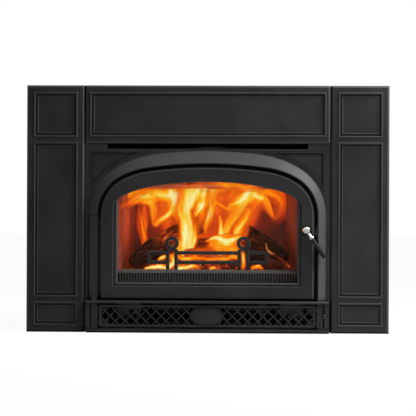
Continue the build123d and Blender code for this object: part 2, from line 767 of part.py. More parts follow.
# ---------------------------------------------------------------- door
clip_places = []                     # middle of the glass edge and its outward direction, in X and Z
glass_a, glass_b = clear_half + glass_overlap, glass_crown + glass_overlap - glass_spring - liner_width
for sign in (-1, 1):
    for share in (0.25, 0.75):
        z = clear_bottom + share * (glass_spring - clear_bottom)
        clip_places.append((sign * glass_a, z, sign, 0))
    clip_places.append((sign * glass_a / 2, clear_bottom - glass_overlap, 0, -1))
    turn = radians(15)
    slope = sqrt((sin(turn) / glass_a) ** 2 + (cos(turn) / glass_b) ** 2)
    clip_places.append((sign * glass_a * sin(turn), glass_spring + liner_width + glass_b * cos(turn),
                        sign * sin(turn) / glass_a / slope, cos(turn) / glass_b / slope))

with BuildPart() as door_frame:
    with BuildSketch(at_y(door_rear_y)):
        add(opening_face(door_foot, -door_gap))
    extrude(amount=door_thickness)
    chamfer(edges_at(door_frame.part, door_front_y), door_bevel)
    with BuildSketch(at_y(door_rear_y + 1)):
        add(window_face())
    extrude(amount=door_thickness + 2, mode=Mode.SUBTRACT)
    rim = edges_at(door_frame.part, door_front_y).filter_by(
        lambda e: max(abs(e.bounding_box().min.X), e.bounding_box().max.X) <= glass_half + 0.1
        and e.bounding_box().min.Z >= glass_bottom - 0.1)
    chamfer(rim, 1.4)
    # stepped liner at the sides and along the bottom
    with BuildSketch(at_y(door_rear_y)):
        add(window_face(0.5))
        add(box_face(-clear_half, clear_half, clear_bottom, glass_crown + 50), mode=Mode.SUBTRACT)
    extrude(amount=liner_depth)
    liner_y = door_rear_y - liner_depth
    inner_edges = edges_at(door_frame.part, liner_y).filter_by(
        lambda e: abs(abs(e.center().X) - clear_half) < 0.01 or abs(e.center().Z - clear_bottom) < 0.01)
    chamfer(inner_edges, liner_depth * 0.75)
    # sealing lip, shaft boss and the pads of the glass clips
    with BuildSketch(at_y(seal_tip_y)):
        add(back_face(seal_gap + seal_lip))
        add(back_face(seal_gap), mode=Mode.SUBTRACT)
    extrude(amount=seal_tip_y - door_rear_y)
    rod(handle_x, door_rear_y - 1, pawl_y - tight, handle_z, pawl_hub_radius)
    rod(handle_x, door_front_y - 1, pawl_y + 1, handle_z, shaft_radius + pin_clearance, mode=Mode.SUBTRACT)
    for x, z, nx, nz in clip_places:
        reach = glass_thickness + glass_tape
        screw(x + nx * pad_offset, door_rear_y - 1, door_rear_y + reach, z + nz * pad_offset, pad_radius)
    for x, z, nx, nz in clip_places:
        screw(x + nx * pad_offset, door_rear_y - 4, door_rear_y + reach + 1, z + nz * pad_offset,
              clip_screw_radius + pin_clearance, mode=Mode.SUBTRACT)
    # hinge post and the web that joins it to the door
    with BuildSketch(Plane.XY.offset(post_foot)):
        with BuildLine():
            Polyline((post_low_x, strip_y), (post_low_x + post_width - 3, band_front_y),
                     (post_low_x + post_width, band_front_y), (post_low_x + post_width, post_rear_y),
                     (post_low_x + post_corner, post_rear_y), (post_low_x, post_rear_y - post_corner),
                     close=True)
        make_face()
    extrude(amount=arch_spring - post_gap - post_foot)
    block(post_low_x + post_width - 1, -door_half + 2, door_front_y + 6, door_rear_y + 4,
          post_foot + 8, arch_spring - post_gap - 8)
    for z0, z1 in ((post_foot - 1, post_foot + pin_depth), (arch_spring - post_gap - pin_depth, arch_spring)):
        upright(post_axis_x, post_axis_y, z0, z1, pin_radius + pin_clearance, mode=Mode.SUBTRACT)
pieces["door_frame"] = door_frame

glass_rear_y = door_rear_y + glass_tape + glass_thickness
with BuildPart() as door_glass:
    with BuildSketch(at_y(glass_rear_y)):
        add(back_face())
    extrude(amount=glass_thickness)
pieces["door_glass"] = door_glass

with BuildPart() as glass_gasket:
    with BuildSketch(at_y(door_rear_y + glass_tape)):
        add(back_face())
        add(clear_face(1.5), mode=Mode.SUBTRACT)
    extrude(amount=glass_tape)
pieces["glass_gasket"] = glass_gasket

with BuildPart() as glass_clips:
    for x, z, nx, nz in clip_places:
        middle = (clip_outer - clip_inner) / 2
        with BuildSketch(at_y(glass_rear_y + clip_thickness)):
            with Locations(Location((x + nx * middle, z + nz * middle, 0), degrees(atan2(nz, nx)))):
                Rectangle(clip_outer + clip_inner, clip_width)
            with Locations((x + nx * pad_offset, z + nz * pad_offset)):
                RegularPolygon(clip_screw_radius + pin_clearance, 6, mode=Mode.SUBTRACT)
        extrude(amount=clip_thickness)
pieces["glass_clips"] = glass_clips

with BuildPart() as glass_screws:
    for x, z, nx, nz in clip_places:
        px, pz = x + nx * pad_offset, z + nz * pad_offset
        screw(px, door_rear_y - 3.5, glass_rear_y + clip_thickness, pz, clip_screw_radius)
        head_y = glass_rear_y + clip_thickness
        screw(px, head_y, head_y + clip_screw_radius, pz, 1.45 * clip_screw_radius)
pieces["glass_screws"] = glass_screws

with BuildPart() as door_gasket:
    with BuildSketch(at_y(flange_y + rope_groove)):
        add(back_face(seal_middle + rope_size / 2))
        add(back_face(seal_middle - rope_size / 2), mode=Mode.SUBTRACT)
    extrude(amount=rope_size)
    chamfer(edges_at(door_gasket.part, flange_y + rope_groove - rope_size), rope_size * 0.25)
pieces["door_gasket"] = door_gasket

with BuildPart() as hinge_pins:
    upright(post_axis_x, post_axis_y, arch_spring - post_gap - pin_depth + 1, arch_spring + pin_depth - 1,
            pin_radius)
    upright(post_axis_x, post_axis_y, pin_seat, post_foot + pin_depth - 1, pin_radius)
    upright(post_axis_x, post_axis_y, ledge_top, post_foot - tight, 2 * pin_radius)
pieces["hinge_pins"] = hinge_pins

# ---------------------------------------------------------------- handle and latch
handle_axis = Axis((handle_x, 0, handle_z), (0, 1, 0))
handle_way = (sin(radians(handle_angle)), 0, -cos(radians(handle_angle)))
hub_rear_y = door_front_y - tight
stem_y = hub_rear_y - hub_length * 0.6


def handle_plane(distance):
    """Plane square to the handle, this far along it."""
    origin = (handle_x + handle_way[0] * distance, stem_y, handle_z + handle_way[2] * distance)
    return Plane(origin=origin, x_dir=(0, 1, 0), z_dir=handle_way)


with BuildPart() as handle_hub:
    with BuildSketch(Plane(origin=(handle_x, 0, handle_z), x_dir=(1, 0, 0), z_dir=(0, 0, 1))):
        with BuildLine():
            front = hub_rear_y - hub_length
            Polyline((0, front), (0, hub_rear_y), (hub_radius, hub_rear_y),
                     (hub_radius, front + hub_length * 0.3), (hub_radius * 0.72, front + hub_length * 0.07),
                     (hub_radius * 0.35, front), close=True)
        make_face()
    revolve(axis=handle_axis)
    with BuildSketch(handle_plane(0)):
        Circle(stem_radius)
    extrude(amount=collar_start + 1)
    with BuildSketch(handle_plane(collar_start)):
        Circle(collar_radius)
    extrude(amount=grip_start - collar_start)
    rod(handle_x, hub_rear_y - hub_socket, hub_rear_y + 1, handle_z, shaft_radius + pin_clearance,
        mode=Mode.SUBTRACT)
pieces["handle_hub"] = handle_hub

with BuildPart() as handle_grip:
    grip_length = grip_end - grip_start
    with BuildSketch(Plane(origin=handle_plane(grip_start).origin, x_dir=(0, 1, 0),
                           z_dir=(handle_way[2], 0, -handle_way[0]))):
        with BuildLine():
            Polyline((0, grip_length), (0, 0), (grip_radius * 0.85, 0), (grip_radius * 1.08, grip_length - 4),
                     (grip_radius * 0.6, grip_length), close=True)
        make_face()
    revolve(axis=Axis(handle_plane(grip_start).origin, handle_way))
pieces["handle_grip"] = handle_grip

with BuildPart() as handle_shaft:
    rod(handle_x, hub_rear_y - hub_socket + 0.5, pawl_y + pawl_thickness + nut_thickness, handle_z,
        shaft_radius)
pieces["handle_shaft"] = handle_shaft

with BuildPart() as latch_pawl:
    with BuildSketch(at_y(pawl_y + pawl_thickness)):
        with Locations(Location((handle_x, handle_z, 0), handle_angle)):
            Circle(pawl_hub_radius)
            with Locations((pawl_length / 2, 0)):
                Rectangle(pawl_length, pawl_width)
            Circle(shaft_radius + pin_clearance, mode=Mode.SUBTRACT)
    extrude(amount=pawl_thickness)
pieces["latch_pawl"] = latch_pawl

with BuildPart() as pawl_nut:
    with BuildSketch(at_y(pawl_y + pawl_thickness + nut_thickness)):
        with Locations((handle_x, handle_z)):
            RegularPolygon(nut_radius, 6)
            Circle(shaft_radius + pin_clearance, mode=Mode.SUBTRACT)
    extrude(amount=nut_thickness)
pieces["pawl_nut"] = pawl_nut

with BuildPart() as latch_keeper:
    block(opening_half - keeper_plate, opening_half, keeper_y, flange_y, handle_z - 16, handle_z + 14)
    block(keeper_inner_x, opening_half - keeper_plate, keeper_y, keeper_y + keeper_thickness,
          handle_z - 14, handle_z + 2.5)
    for dz in keeper_screw_offsets:
        cross_screw(opening_half - keeper_plate - 1, opening_half + 1, keeper_screw_y, handle_z + dz,
                    screw_radius + pin_clearance, mode=Mode.SUBTRACT)
pieces["latch_keeper"] = latch_keeper

with BuildPart() as keeper_screws:
    for dz in keeper_screw_offsets:
        cross_screw(opening_half - keeper_plate, opening_half + frame_wall - 2.5, keeper_screw_y,
                    handle_z + dz, screw_radius)
pieces["keeper_screws"] = keeper_screws

# ---------------------------------------------------------------- firebox, bricks and flue
taper = (firebox_half_front - firebox_half_rear) / (firebox_rear_y - flange_rear_y)
wall_turn = degrees(atan(taper))
wall_slant = sqrt(1 + taper ** 2)


def inner_half(y, inset=0.0):
    """Half the clear width between the firebox's side plates at depth y, less an inset."""
    return firebox_half_front - taper * (y - flange_rear_y) - (plate + inset) * wall_slant


def trapezoid(y_front, y_rear, half_front, half_rear):
    """Flat outline that narrows towards the rear."""
    with BuildSketch() as face:
        with BuildLine():
            Polyline((-half_front, y_front), (half_front, y_front), (half_rear, y_rear), (-half_rear, y_rear),
                     close=True)
        make_face()
    return face.sketch


def tapered(y_front, y_rear, inset=0.0):
    """Outline inside the firebox between two depths."""
    return trapezoid(y_front, y_rear, inner_half(y_front, inset), inner_half(y_rear, inset))


def side_walls(sheet, y_front, y_rear, half_at):
    """Outlines of both side walls; half_at gives their outer faces at each depth."""
    with BuildSketch() as face:
        for sign in (-1, 1):
            with BuildLine():
                front, rear = half_at(y_front), half_at(y_rear)
                Polyline((sign * front, y_front), (sign * rear, y_rear), (sign * (rear - sheet), y_rear),
                         (sign * (front - sheet), y_front), close=True)
            make_face()
    return face.sketch


def firebox_half(y):
    """Half the firebox's outer width at depth y."""
    return inner_half(y, -plate)


with BuildPart() as firebox_front_plate:
    with BuildSketch(at_y(firebox_front_y)):
        add(box_face(-front_plate_half, front_plate_half, pan_top, outlet_bottom - frame_wall))
        add(box_face(-recess_half, recess_half, pan_top - 1, ledge_bottom), mode=Mode.SUBTRACT)
        add(box_face(lever_x - lever_slot_width, lever_x + lever_slot_width, lever_z - lever_slot_reach,
                     lever_z + lever_slot_reach), mode=Mode.SUBTRACT)
        add(back_face(-mouth_inset), mode=Mode.SUBTRACT)
        with Locations(*frame_bolt_places):
            RegularPolygon(bolt_radius + pin_clearance, 6, mode=Mode.SUBTRACT)
    extrude(amount=plate)
pieces["firebox_front_plate"] = firebox_front_plate

wall_rear_y = firebox_rear_y - plate
with BuildPart() as firebox_shell:
    for low in (firebox_bottom, firebox_top - plate):
        with BuildSketch(Plane.XY.offset(low)):
            add(trapezoid(firebox_front_y, firebox_rear_y, firebox_half(firebox_front_y),
                          firebox_half(firebox_rear_y)))
        extrude(amount=plate)
    with BuildSketch(Plane.XY.offset(firebox_floor + weld_gap)):
        add(side_walls(plate * wall_slant, firebox_front_y, wall_rear_y - weld_gap, firebox_half))
        add(trapezoid(wall_rear_y, firebox_rear_y, firebox_half(wall_rear_y), firebox_half(firebox_rear_y)))
    extrude(amount=firebox_top - plate - firebox_floor - 2 * weld_gap)
    for sign in (-1, 1):
        x0, x1 = sorted((sign * leg_x, sign * (leg_x + leg_width)))
        block(x0, x1, leg_y, leg_y + plate, pan_top, firebox_bottom - weld_gap)
    upright(0, collar_y, firebox_top - plate - 1, firebox_top + 1, collar_bore, mode=Mode.SUBTRACT)
    for x, y in collar_bolt_places:
        upright_screw(x, y, firebox_top - plate - 1, firebox_top + 1, bolt_radius + pin_clearance,
                      mode=Mode.SUBTRACT)
    block(inlet_x0 + 14, inlet_x0 + 26, firebox_front_y + 8, firebox_front_y + 32, firebox_bottom - 1,
          firebox_floor + 1, mode=Mode.SUBTRACT)
pieces["firebox_shell"] = firebox_shell

with BuildPart() as flue_collar:
    upright(0, collar_y, firebox_top, collar_top, collar_bore + collar_wall)
    upright(0, collar_y, firebox_top, firebox_top + collar_plate, collar_bore + collar_wall + collar_flange)
    upright(0, collar_y, firebox_top - 1, collar_top + 1, collar_bore, mode=Mode.SUBTRACT)
    for x, y in collar_bolt_places:
        upright_screw(x, y, firebox_top - 1, firebox_top + collar_plate + 1, bolt_radius + pin_clearance,
                      mode=Mode.SUBTRACT)
pieces["flue_collar"] = flue_collar

with BuildPart() as collar_bolts:
    for x, y in collar_bolt_places:
        upright_screw(x, y, firebox_top - plate, firebox_top + collar_plate, bolt_radius)
        upright_screw(x, y, firebox_top + collar_plate, firebox_top + collar_plate + head_height, head_radius)
pieces["collar_bolts"] = collar_bolts

with BuildPart() as frame_bolts:
    for x, z in frame_bolt_places:
        screw(x, flange_y + 2.5, firebox_front_y, z, bolt_radius)
        with BuildSketch(at_y(firebox_front_y + head_height)):
            with Locations((x, z)):
                RegularPolygon(head_radius, 6)
        extrude(amount=head_height)
pieces["frame_bolts"] = frame_bolts

with BuildPart() as floor_bricks:
    with BuildSketch(Plane.XY.offset(firebox_floor)):
        add(tapered(floor_front_y, firebox_rear_y - plate - 0.5, 0.5))
    extrude(amount=brick_thickness)
    for x in (-brick_width / 2, brick_width / 2):
        block(x - brick_joint / 2, x + brick_joint / 2, 0, firebox_rear_y, firebox_floor - 1, brick_floor + 1,
              mode=Mode.SUBTRACT)
    middle = (floor_front_y + firebox_rear_y) / 2
    block(-firebox_half_front, firebox_half_front, middle - brick_joint / 2, middle + brick_joint / 2,
          firebox_floor - 1, brick_floor + 1, mode=Mode.SUBTRACT)
pieces["floor_bricks"] = floor_bricks

side_run = (firebox_rear_y - plate - side_brick_front_y) * wall_slant - brick_thickness * taper - 1.0
side_brick = side_run / side_brick_count
for name, sign in (("left_bricks", -1), ("right_bricks", 1)):
    with BuildPart() as bricks:
        for i in range(side_brick_count):
            along = (i + 0.5) * side_brick
            inward = tight + brick_thickness / 2
            y = side_brick_front_y + (along - inward * taper) / wall_slant
            x = sign * (inner_half(y) - inward * wall_slant)
            with Locations(Location((x, y, (brick_floor + brick_top) / 2), (0, 0, sign * wall_turn))):
                Box(brick_thickness, side_brick - brick_joint, brick_top - brick_floor)
    pieces[name] = bricks

rear_brick_y = firebox_rear_y - plate - tight - brick_thickness
rear_half = inner_half(firebox_rear_y - plate, brick_thickness + tight + 0.6)
with BuildPart() as rear_bricks:
    rear_brick = 2 * rear_half / rear_brick_count
    for i in range(rear_brick_count):
        x = -rear_half + (i + 0.5) * rear_brick
        block(x - rear_brick / 2 + brick_joint / 2, x + rear_brick / 2 - brick_joint / 2, rear_brick_y,
              rear_brick_y + brick_thickness, brick_floor, brick_top)
pieces["rear_bricks"] = rear_bricks

manifold_run = side_run - 2.0
for name, sign in (("tube_manifold_left", -1), ("tube_manifold_right", 1)):
    with BuildPart() as manifold:
        along = manifold_run / 2
        inward = tight + manifold_width / 2
        y = side_brick_front_y + (along - inward * taper) / wall_slant
        x = sign * (inner_half(y) - inward * wall_slant)
        with Locations(Location((x, y, (brick_top + baffle_bottom) / 2), (0, 0, sign * wall_turn))):
            Box(manifold_width, manifold_run, baffle_bottom - brick_top)
            Box(manifold_width - 2 * manifold_wall, manifold_run - 2 * manifold_wall,
                baffle_bottom - brick_top - 2 * manifold_wall, mode=Mode.SUBTRACT)
        for tube_y in tube_places:
            x0, x1 = sorted((sign * (inner_half(tube_y, manifold_width) - 10),
                             sign * inner_half(tube_y, manifold_width / 2 + tight)))
            cross_rod(x0, x1, tube_y, tube_z, tube_radius + pin_clearance, mode=Mode.SUBTRACT)
    pieces[name] = manifold

with BuildPart() as air_tubes:
    for tube_y in tube_places:
        half = inner_half(tube_y, manifold_width / 2 + tight + 1)
        cross_rod(-half, half, tube_y, tube_z, tube_radius)
    for tube_y in tube_places:
        half = inner_half(tube_y) + 1
        cross_rod(-half, half, tube_y, tube_z, tube_radius - tube_wall, mode=Mode.SUBTRACT)
pieces["air_tubes"] = air_tubes

with BuildPart() as baffle_board:
    with BuildSketch(Plane.XY.offset(baffle_bottom)):
        add(tapered(baffle_front_y, firebox_rear_y - plate - 1, 1.0))
    extrude(amount=baffle_thickness)
    chamfer(baffle_board.edges().filter_by(Axis.X), 2.0)
pieces["baffle_board"] = baffle_board

with BuildPart() as tube_clip:
    front = tube_places[0] - tube_radius - tight - tube_clip_sheet
    x0, x1 = tube_clip_x - tube_clip_half, tube_clip_x + tube_clip_half
    narrow = 0.55 * tube_clip_half
    low = tube_z - tube_radius
    with BuildSketch(at_y(front + tube_clip_sheet)):
        with BuildLine():
            Polyline((x0, baffle_bottom), (x1, baffle_bottom), (tube_clip_x + narrow, low),
                     (tube_clip_x - narrow, low), close=True)
        make_face()
    extrude(amount=tube_clip_sheet)
    block(x0, x1, front, tube_places[0], baffle_bottom - tube_clip_sheet, baffle_bottom)
pieces["tube_clip"] = tube_clip

# ---------------------------------------------------------------- hearth lip and log guard
lip_half = clear_half + 1.5
with BuildPart() as hearth_lip:
    block(-lip_half, lip_half, lip_rib_y + rib_depth, flange_rear_y + plate + hearth_lip_depth - 10,
          clear_bottom - 1, hearth_lip_top)
    block(-lip_half, lip_half, firebox_front_y + 1, firebox_front_y + hearth_lip_depth - 10, firebox_floor,
          hearth_lip_top)
    block(-lip_half + 6, lip_half - 6, firebox_front_y + 6, firebox_front_y + hearth_lip_depth - 16,
          firebox_floor - 5, hearth_lip_top - 6, mode=Mode.SUBTRACT)
    block(-lip_half, lip_half, lip_rib_y - 3, lip_rib_y + rib_depth + 1, hearth_lip_top - hearth_lip_ledge,
          hearth_lip_top)
    chamfer(hearth_lip.edges().filter_by(Axis.X).group_by(Axis.Y)[0], 1.0)
    with Locations((0, firebox_front_y + 28, hearth_lip_top)):
        with GridLocations(air_slot_pitch, 1, air_slot_count, 1):
            Box(air_slot_length, air_slot_width, 20, mode=Mode.SUBTRACT)
    rib_low, rib_high = clear_bottom - 1, hearth_lip_top - hearth_lip_ledge + 0.5
    with BuildSketch(at_y(lip_rib_y + rib_depth + 0.5)):
        with Locations((0, (rib_low + rib_high) / 2)):
            with GridLocations(rib_pitch, 1, int(2 * lip_half / rib_pitch), 1):
                Rectangle(rib_width, rib_high - rib_low)
    extrude(amount=rib_depth + 0.5)
pieces["hearth_lip"] = hearth_lip

with BuildPart() as log_guard:
    with BuildSketch(at_y(guard_y + guard_thickness)):
        for z in (guard_upper_z, guard_lower_z):
            with Locations((0, z)):
                Rectangle(2 * guard_half, guard_rail)
        for sign in (-1, 1):
            with Locations((sign * (guard_half - guard_rail / 2), (guard_upper_z + guard_lower_z) / 2)):
                Rectangle(guard_rail, guard_upper_z - guard_lower_z + guard_rail)
        posts = [(sign * guard_post_x, 0) for sign in (-1, 1)]
        post_top = guard_ring_z - guard_ring_radius
        with Locations(*[(x, (hearth_lip_top + post_top) / 2) for x, _ in posts]):
            Rectangle(guard_post_width, post_top - hearth_lip_top)
        with Locations(*[(x, guard_ring_z) for x, _ in posts]):
            Circle(guard_ring_radius)
            Circle(guard_ring_hole, mode=Mode.SUBTRACT)
        with Locations(*[(x, post_top) for x, _ in posts]):
            Rectangle(18, 8)
        slot_top = post_top - 1.5
        with Locations(*[(x, (hearth_lip_top + slot_top - guard_slot_width / 2) / 2) for x, _ in posts]):
            Rectangle(guard_slot_width, slot_top - guard_slot_width / 2 - hearth_lip_top, mode=Mode.SUBTRACT)
        with Locations(*[(x, slot_top - guard_slot_width / 2) for x, _ in posts]):
            Circle(guard_slot_width / 2, mode=Mode.SUBTRACT)
    extrude(amount=guard_thickness)
    chamfer(edges_at(log_guard.part, guard_y), 1.2)
pieces["log_guard"] = log_guard

# ---------------------------------------------------------------- fire: ember bed and split logs
ember_y = (floor_front_y + rear_brick_y) / 2 + 3.5
ember_half_depth = (rear_brick_y - floor_front_y) / 2 - ember_end_gap
ember_half_width = inner_half(ember_y, brick_thickness) - ember_side_gap
with BuildPart() as ember_bed:
    with BuildSketch(Plane.XY.offset(brick_floor)):
        with Locations((0, ember_y)):
            Ellipse(ember_half_width, ember_half_depth)
    with BuildSketch(Plane.XY.offset(brick_floor + ember_height)):
        with Locations((0, ember_y)):
            Ellipse(ember_half_width * 0.9, ember_half_depth * 0.85)
    loft()
pieces["ember_bed"] = ember_bed
ember_top = brick_floor + ember_height
back_log_y = ember_y + 75.0


def split_log(start, way, length, radius, split_turn):
    """Log with one split face; split_turn turns that face about the log."""
    with BuildPart() as log:
        with BuildSketch(Plane(origin=start, x_dir=Vector(way).cross(Vector(0, 0, 1)), z_dir=way)):
            Circle(radius)
            with Locations(Location((0, 0, 0), split_turn)):
                with Locations((1.45 * radius, 0)):
                    Rectangle(2 * (1.45 - 0.45) * radius, 2 * radius, mode=Mode.SUBTRACT)
        extrude(amount=length)
        chamfer(log.edges().group_by(Axis(start, way))[0] + log.edges().group_by(Axis(start, way))[-1], 2.0)
    return log


def leaning_log(x, way, length, radius, split_turn):
    """Log that stands on the embers at x and leans on the back log."""
    size = sqrt(sum(c * c for c in way))
    ux, uy, uz = (c / size for c in way)
    z = ember_top + tight + radius * sqrt(1 - uz ** 2)
    apart = (back_log_radius + radius + tight) * sqrt(uy ** 2 + uz ** 2)
    y = back_log_y + ((z - ember_top - tight - back_log_radius) * uy - apart) / uz
    return split_log((x, y, z), (ux, uy, uz), length, radius, split_turn)


back_log_half = 0.73 * ember_half_width
front_log_start = (-0.31 * ember_half_width, ember_y - 97, ember_top + tight + front_log_radius)
pieces["log_back"] = split_log((-back_log_half, back_log_y, ember_top + tight + back_log_radius), (1, 0, 0),
                               2 * back_log_half, back_log_radius, -145)
pieces["log_front"] = split_log(front_log_start, (1, 0.08, 0), 0.93 * ember_half_width, front_log_radius, 215)
pieces["log_left"] = leaning_log(-0.91 * ember_half_width, (0.72, 0.58, 0.37), 1.11 * ember_half_width,
                                 left_log_radius, -35)
pieces["log_right"] = leaning_log(0.97 * ember_half_width, (-0.62, 0.66, 0.36), 0.98 * ember_half_width,
                                  right_log_radius, 215)

# ---------------------------------------------------------------- jacket, pan and feet
jacket_taper = (jacket_half - jacket_rear_half) / (jacket_rear_y - flange_rear_y)
gland_place = Location((-jacket_half + jacket_taper * (gland_y - flange_rear_y), gland_y, gland_z),
                       (0, 0, -degrees(atan(jacket_taper))))

def jacket_half_at(y):
    """Half the jacket's outer width at depth y."""
    return jacket_half - jacket_taper * (y - flange_rear_y)


with BuildPart() as convection_jacket:
    with BuildSketch(Plane.XY.offset(jacket_top - jacket_sheet)):
        add(trapezoid(flange_rear_y, jacket_rear_y, jacket_half, jacket_rear_half))
    extrude(amount=jacket_sheet)
    upright(0, collar_y, jacket_top - 2 * jacket_sheet, jacket_top + 1, collar_bore + collar_wall + 2,
            mode=Mode.SUBTRACT)
    rear_y = jacket_rear_y - jacket_sheet
    with BuildSketch(Plane.XY.offset(pan_top)):
        add(side_walls(jacket_sheet, flange_rear_y, rear_y - weld_gap, jacket_half_at))
        add(trapezoid(rear_y, jacket_rear_y, jacket_half_at(rear_y), jacket_rear_half))
    extrude(amount=jacket_top - jacket_sheet - weld_gap - pan_top)
    with Locations(gland_place):
        Cylinder(gland_radius + pin_clearance, 4 * jacket_sheet, rotation=(0, 90, 0), mode=Mode.SUBTRACT)
pieces["convection_jacket"] = convection_jacket

with BuildPart() as base_pan:
    with BuildSketch(Plane.XY.offset(pan_bottom)):
        add(trapezoid(flange_rear_y, jacket_rear_y, jacket_half, jacket_rear_half))
        with Locations((0, (base_front_y + frame_wall + flange_rear_y) / 2)):
            Rectangle(2 * recess_half - 1, flange_rear_y - base_front_y - frame_wall)
    extrude(amount=pan_sheet)
    for x, y in foot_places:
        upright_screw(x, y, pan_bottom, pan_top + 8, 2 * foot_bolt_radius)
        upright_screw(x, y, pan_bottom - 1, pan_top + 9, foot_bolt_radius + pin_clearance, mode=Mode.SUBTRACT)
pieces["base_pan"] = base_pan

with BuildPart() as levelling_bolts:
    for x, y in foot_places:
        upright_screw(x, y, 0, pan_bottom - tight, foot_radius)
        upright_screw(x, y, pan_bottom - tight, pan_top + 20, foot_bolt_radius)
pieces["levelling_bolts"] = levelling_bolts

with BuildPart() as cable_gland:
    with Locations(gland_place):
        with Locations((-gland_flange / 2, 0, 0)):
            Cylinder(gland_radius + 3, gland_flange, rotation=(0, 90, 0))
        with Locations((gland_reach / 2, 0, 0)):
            Cylinder(gland_radius, gland_reach, rotation=(0, 90, 0))
        Cylinder(gland_bore, 4 * gland_reach, rotation=(0, 90, 0), mode=Mode.SUBTRACT)
pieces["cable_gland"] = cable_gland

# ---------------------------------------------------------------- surround fixings
with BuildPart() as surround_brackets:
    for sign in (-1, 1):
        for z in bracket_levels:
            x0, x1 = sorted((sign * frame_half, sign * (side_low + boss_offset + 10)))
            block(x0, x1, strap_seat_y, strap_seat_y + strap_sheet, z - strap_half, z + strap_half)
            x0, x1 = sorted((sign * frame_half, sign * (frame_half + panel_gap)))
            block(x0, x1, strap_seat_y, flange_rear_y, z - strap_half, z + strap_half)
        x0, x1 = sorted((sign * (frame_half - boss_offset - 10), sign * (side_low + boss_offset + 10)))
        block(x0, x1, strap_seat_y, strap_seat_y + strap_sheet, strap_level - strap_half,
              strap_level + strap_half)
    for x, z in strap_screw_places:
        screw(x, strap_seat_y - 1, 1, z, screw_radius + pin_clearance, mode=Mode.SUBTRACT)
    for x, z in side_screw_places:
        cross_screw(x - 4, x + 4, side_screw_y, z, screw_radius + pin_clearance, mode=Mode.SUBTRACT)
pieces["surround_brackets"] = surround_brackets

with BuildPart() as surround_screws:
    for x, z in strap_screw_places:
        screw(x, strap_seat_y - 8, strap_seat_y + strap_sheet, z, screw_radius)
    for x, z in side_screw_places:
        x0, x1 = sorted((x + copysign(panel_gap, x), x - copysign(5, x)))
        cross_screw(x0, x1, side_screw_y, z, screw_radius)
pieces["surround_screws"] = surround_screws

# ---------------------------------------------------------------- blower
housing_start = motor_length / 2 + motor_gap
housing_end = housing_start + wheel_length + 2 * (scroll_wall + scroll_side_gap)
scroll_radius = wheel_radius + scroll_gap + scroll_wall
with BuildPart() as blower_motor:
    cross_rod(-motor_length / 2 + shield, motor_length / 2 - shield, blower_y, blower_z, motor_radius)
    cross_rod(-motor_length / 2, motor_length / 2, blower_y, blower_z, motor_radius - shield)
    cross_rod(-motor_length / 2 - 3.5, motor_length / 2 + 3.5, blower_y, blower_z, 3 * blower_shaft_radius)
    cross_rod(-motor_length / 2 - 5, motor_length / 2 + 5, blower_y, blower_z,
              blower_shaft_radius + pin_clearance, mode=Mode.SUBTRACT)
pieces["blower_motor"] = blower_motor

for name, sign in (("blower_left_housing", -1), ("blower_right_housing", 1)):
    x0, x1 = sorted((sign * housing_start, sign * housing_end))
    w0, w1 = x0 + scroll_wall, x1 - scroll_wall
    with BuildPart() as housing:
        cross_rod(x0, x1, blower_y, blower_z, scroll_radius)
        block(x0, x1, blower_y, blower_y + duct_length, blower_z + scroll_radius - duct_height,
              blower_z + scroll_radius)
        block(x0, x1, blower_y - blower_foot_half, blower_y + blower_foot_half, blower_plate_top,
              blower_z - scroll_radius / 2)
        cross_rod(w0, w1, blower_y, blower_z, scroll_radius - scroll_wall, mode=Mode.SUBTRACT)
        block(w0, w1, blower_y, blower_y + duct_length + 1,
              blower_z + scroll_radius - duct_height + scroll_wall, blower_z + scroll_radius - scroll_wall,
              mode=Mode.SUBTRACT)
        cross_rod(x0 - 1, x1 + 1, blower_y, blower_z, inlet_radius, mode=Mode.SUBTRACT)
    pieces[name] = housing

with BuildPart() as blower_plate:
    block(-housing_end, housing_end, blower_y - blower_foot_half - 6, blower_y + blower_foot_half + 6,
          pan_top, blower_plate_top)
    for x in (-motor_length / 4, motor_length / 4):
        block(x - 4, x + 4, blower_y - 22, blower_y + 22, blower_plate_top, blower_z - motor_radius * 0.72)
    cross_rod(-motor_length / 2, motor_length / 2, blower_y, blower_z, motor_radius + 0.1, mode=Mode.SUBTRACT)
pieces["blower_plate"] = blower_plate

with BuildPart() as blower_shaft:
    cross_rod(-wheel_far + 4, wheel_far - 4, blower_y, blower_z, blower_shaft_radius)
pieces["blower_shaft"] = blower_shaft

with BuildPart() as blower_wheels:
    for sign in (-1, 1):
        near, far = wheel_near, wheel_far
        x0, x1 = sorted((sign * near, sign * (near + 2.5)))
        cross_rod(x0, x1, blower_y, blower_z, wheel_radius)
        x0, x1 = sorted((sign * near, sign * (near + 14)))
        cross_rod(x0, x1, blower_y, blower_z, 2.4 * blower_shaft_radius)
        x0, x1 = sorted((sign * (far - 2.5), sign * far))
        cross_rod(x0, x1, blower_y, blower_z, wheel_radius)
        cross_rod(x0 - 1, x1 + 1, blower_y, blower_z, wheel_radius - 8, mode=Mode.SUBTRACT)
        with BuildSketch(Plane.YZ.offset(min(sign * (near + 1), sign * (far - 1)))):
            with Locations((blower_y, blower_z)):
                with PolarLocations(wheel_radius - 4, wheel_blades):
                    Rectangle(6.5, 1.4, rotation=30)
        extrude(amount=far - near - 2)
    cross_rod(-wheel_far, wheel_far, blower_y, blower_z, blower_shaft_radius + 0.03, mode=Mode.SUBTRACT)
pieces["blower_wheels"] = blower_wheels

with BuildPart() as thermal_switch:
    upright(switch_x, switch_y, firebox_bottom - 2, firebox_bottom, 12)
    upright(switch_x, switch_y, firebox_bottom - 11, firebox_bottom, 8)
    for dx in (-3, 3):
        block(switch_x + dx - 0.6, switch_x + dx + 0.6, switch_y - 3, switch_y + 3, firebox_bottom - 18,
              firebox_bottom - 10)
pieces["thermal_switch"] = thermal_switch

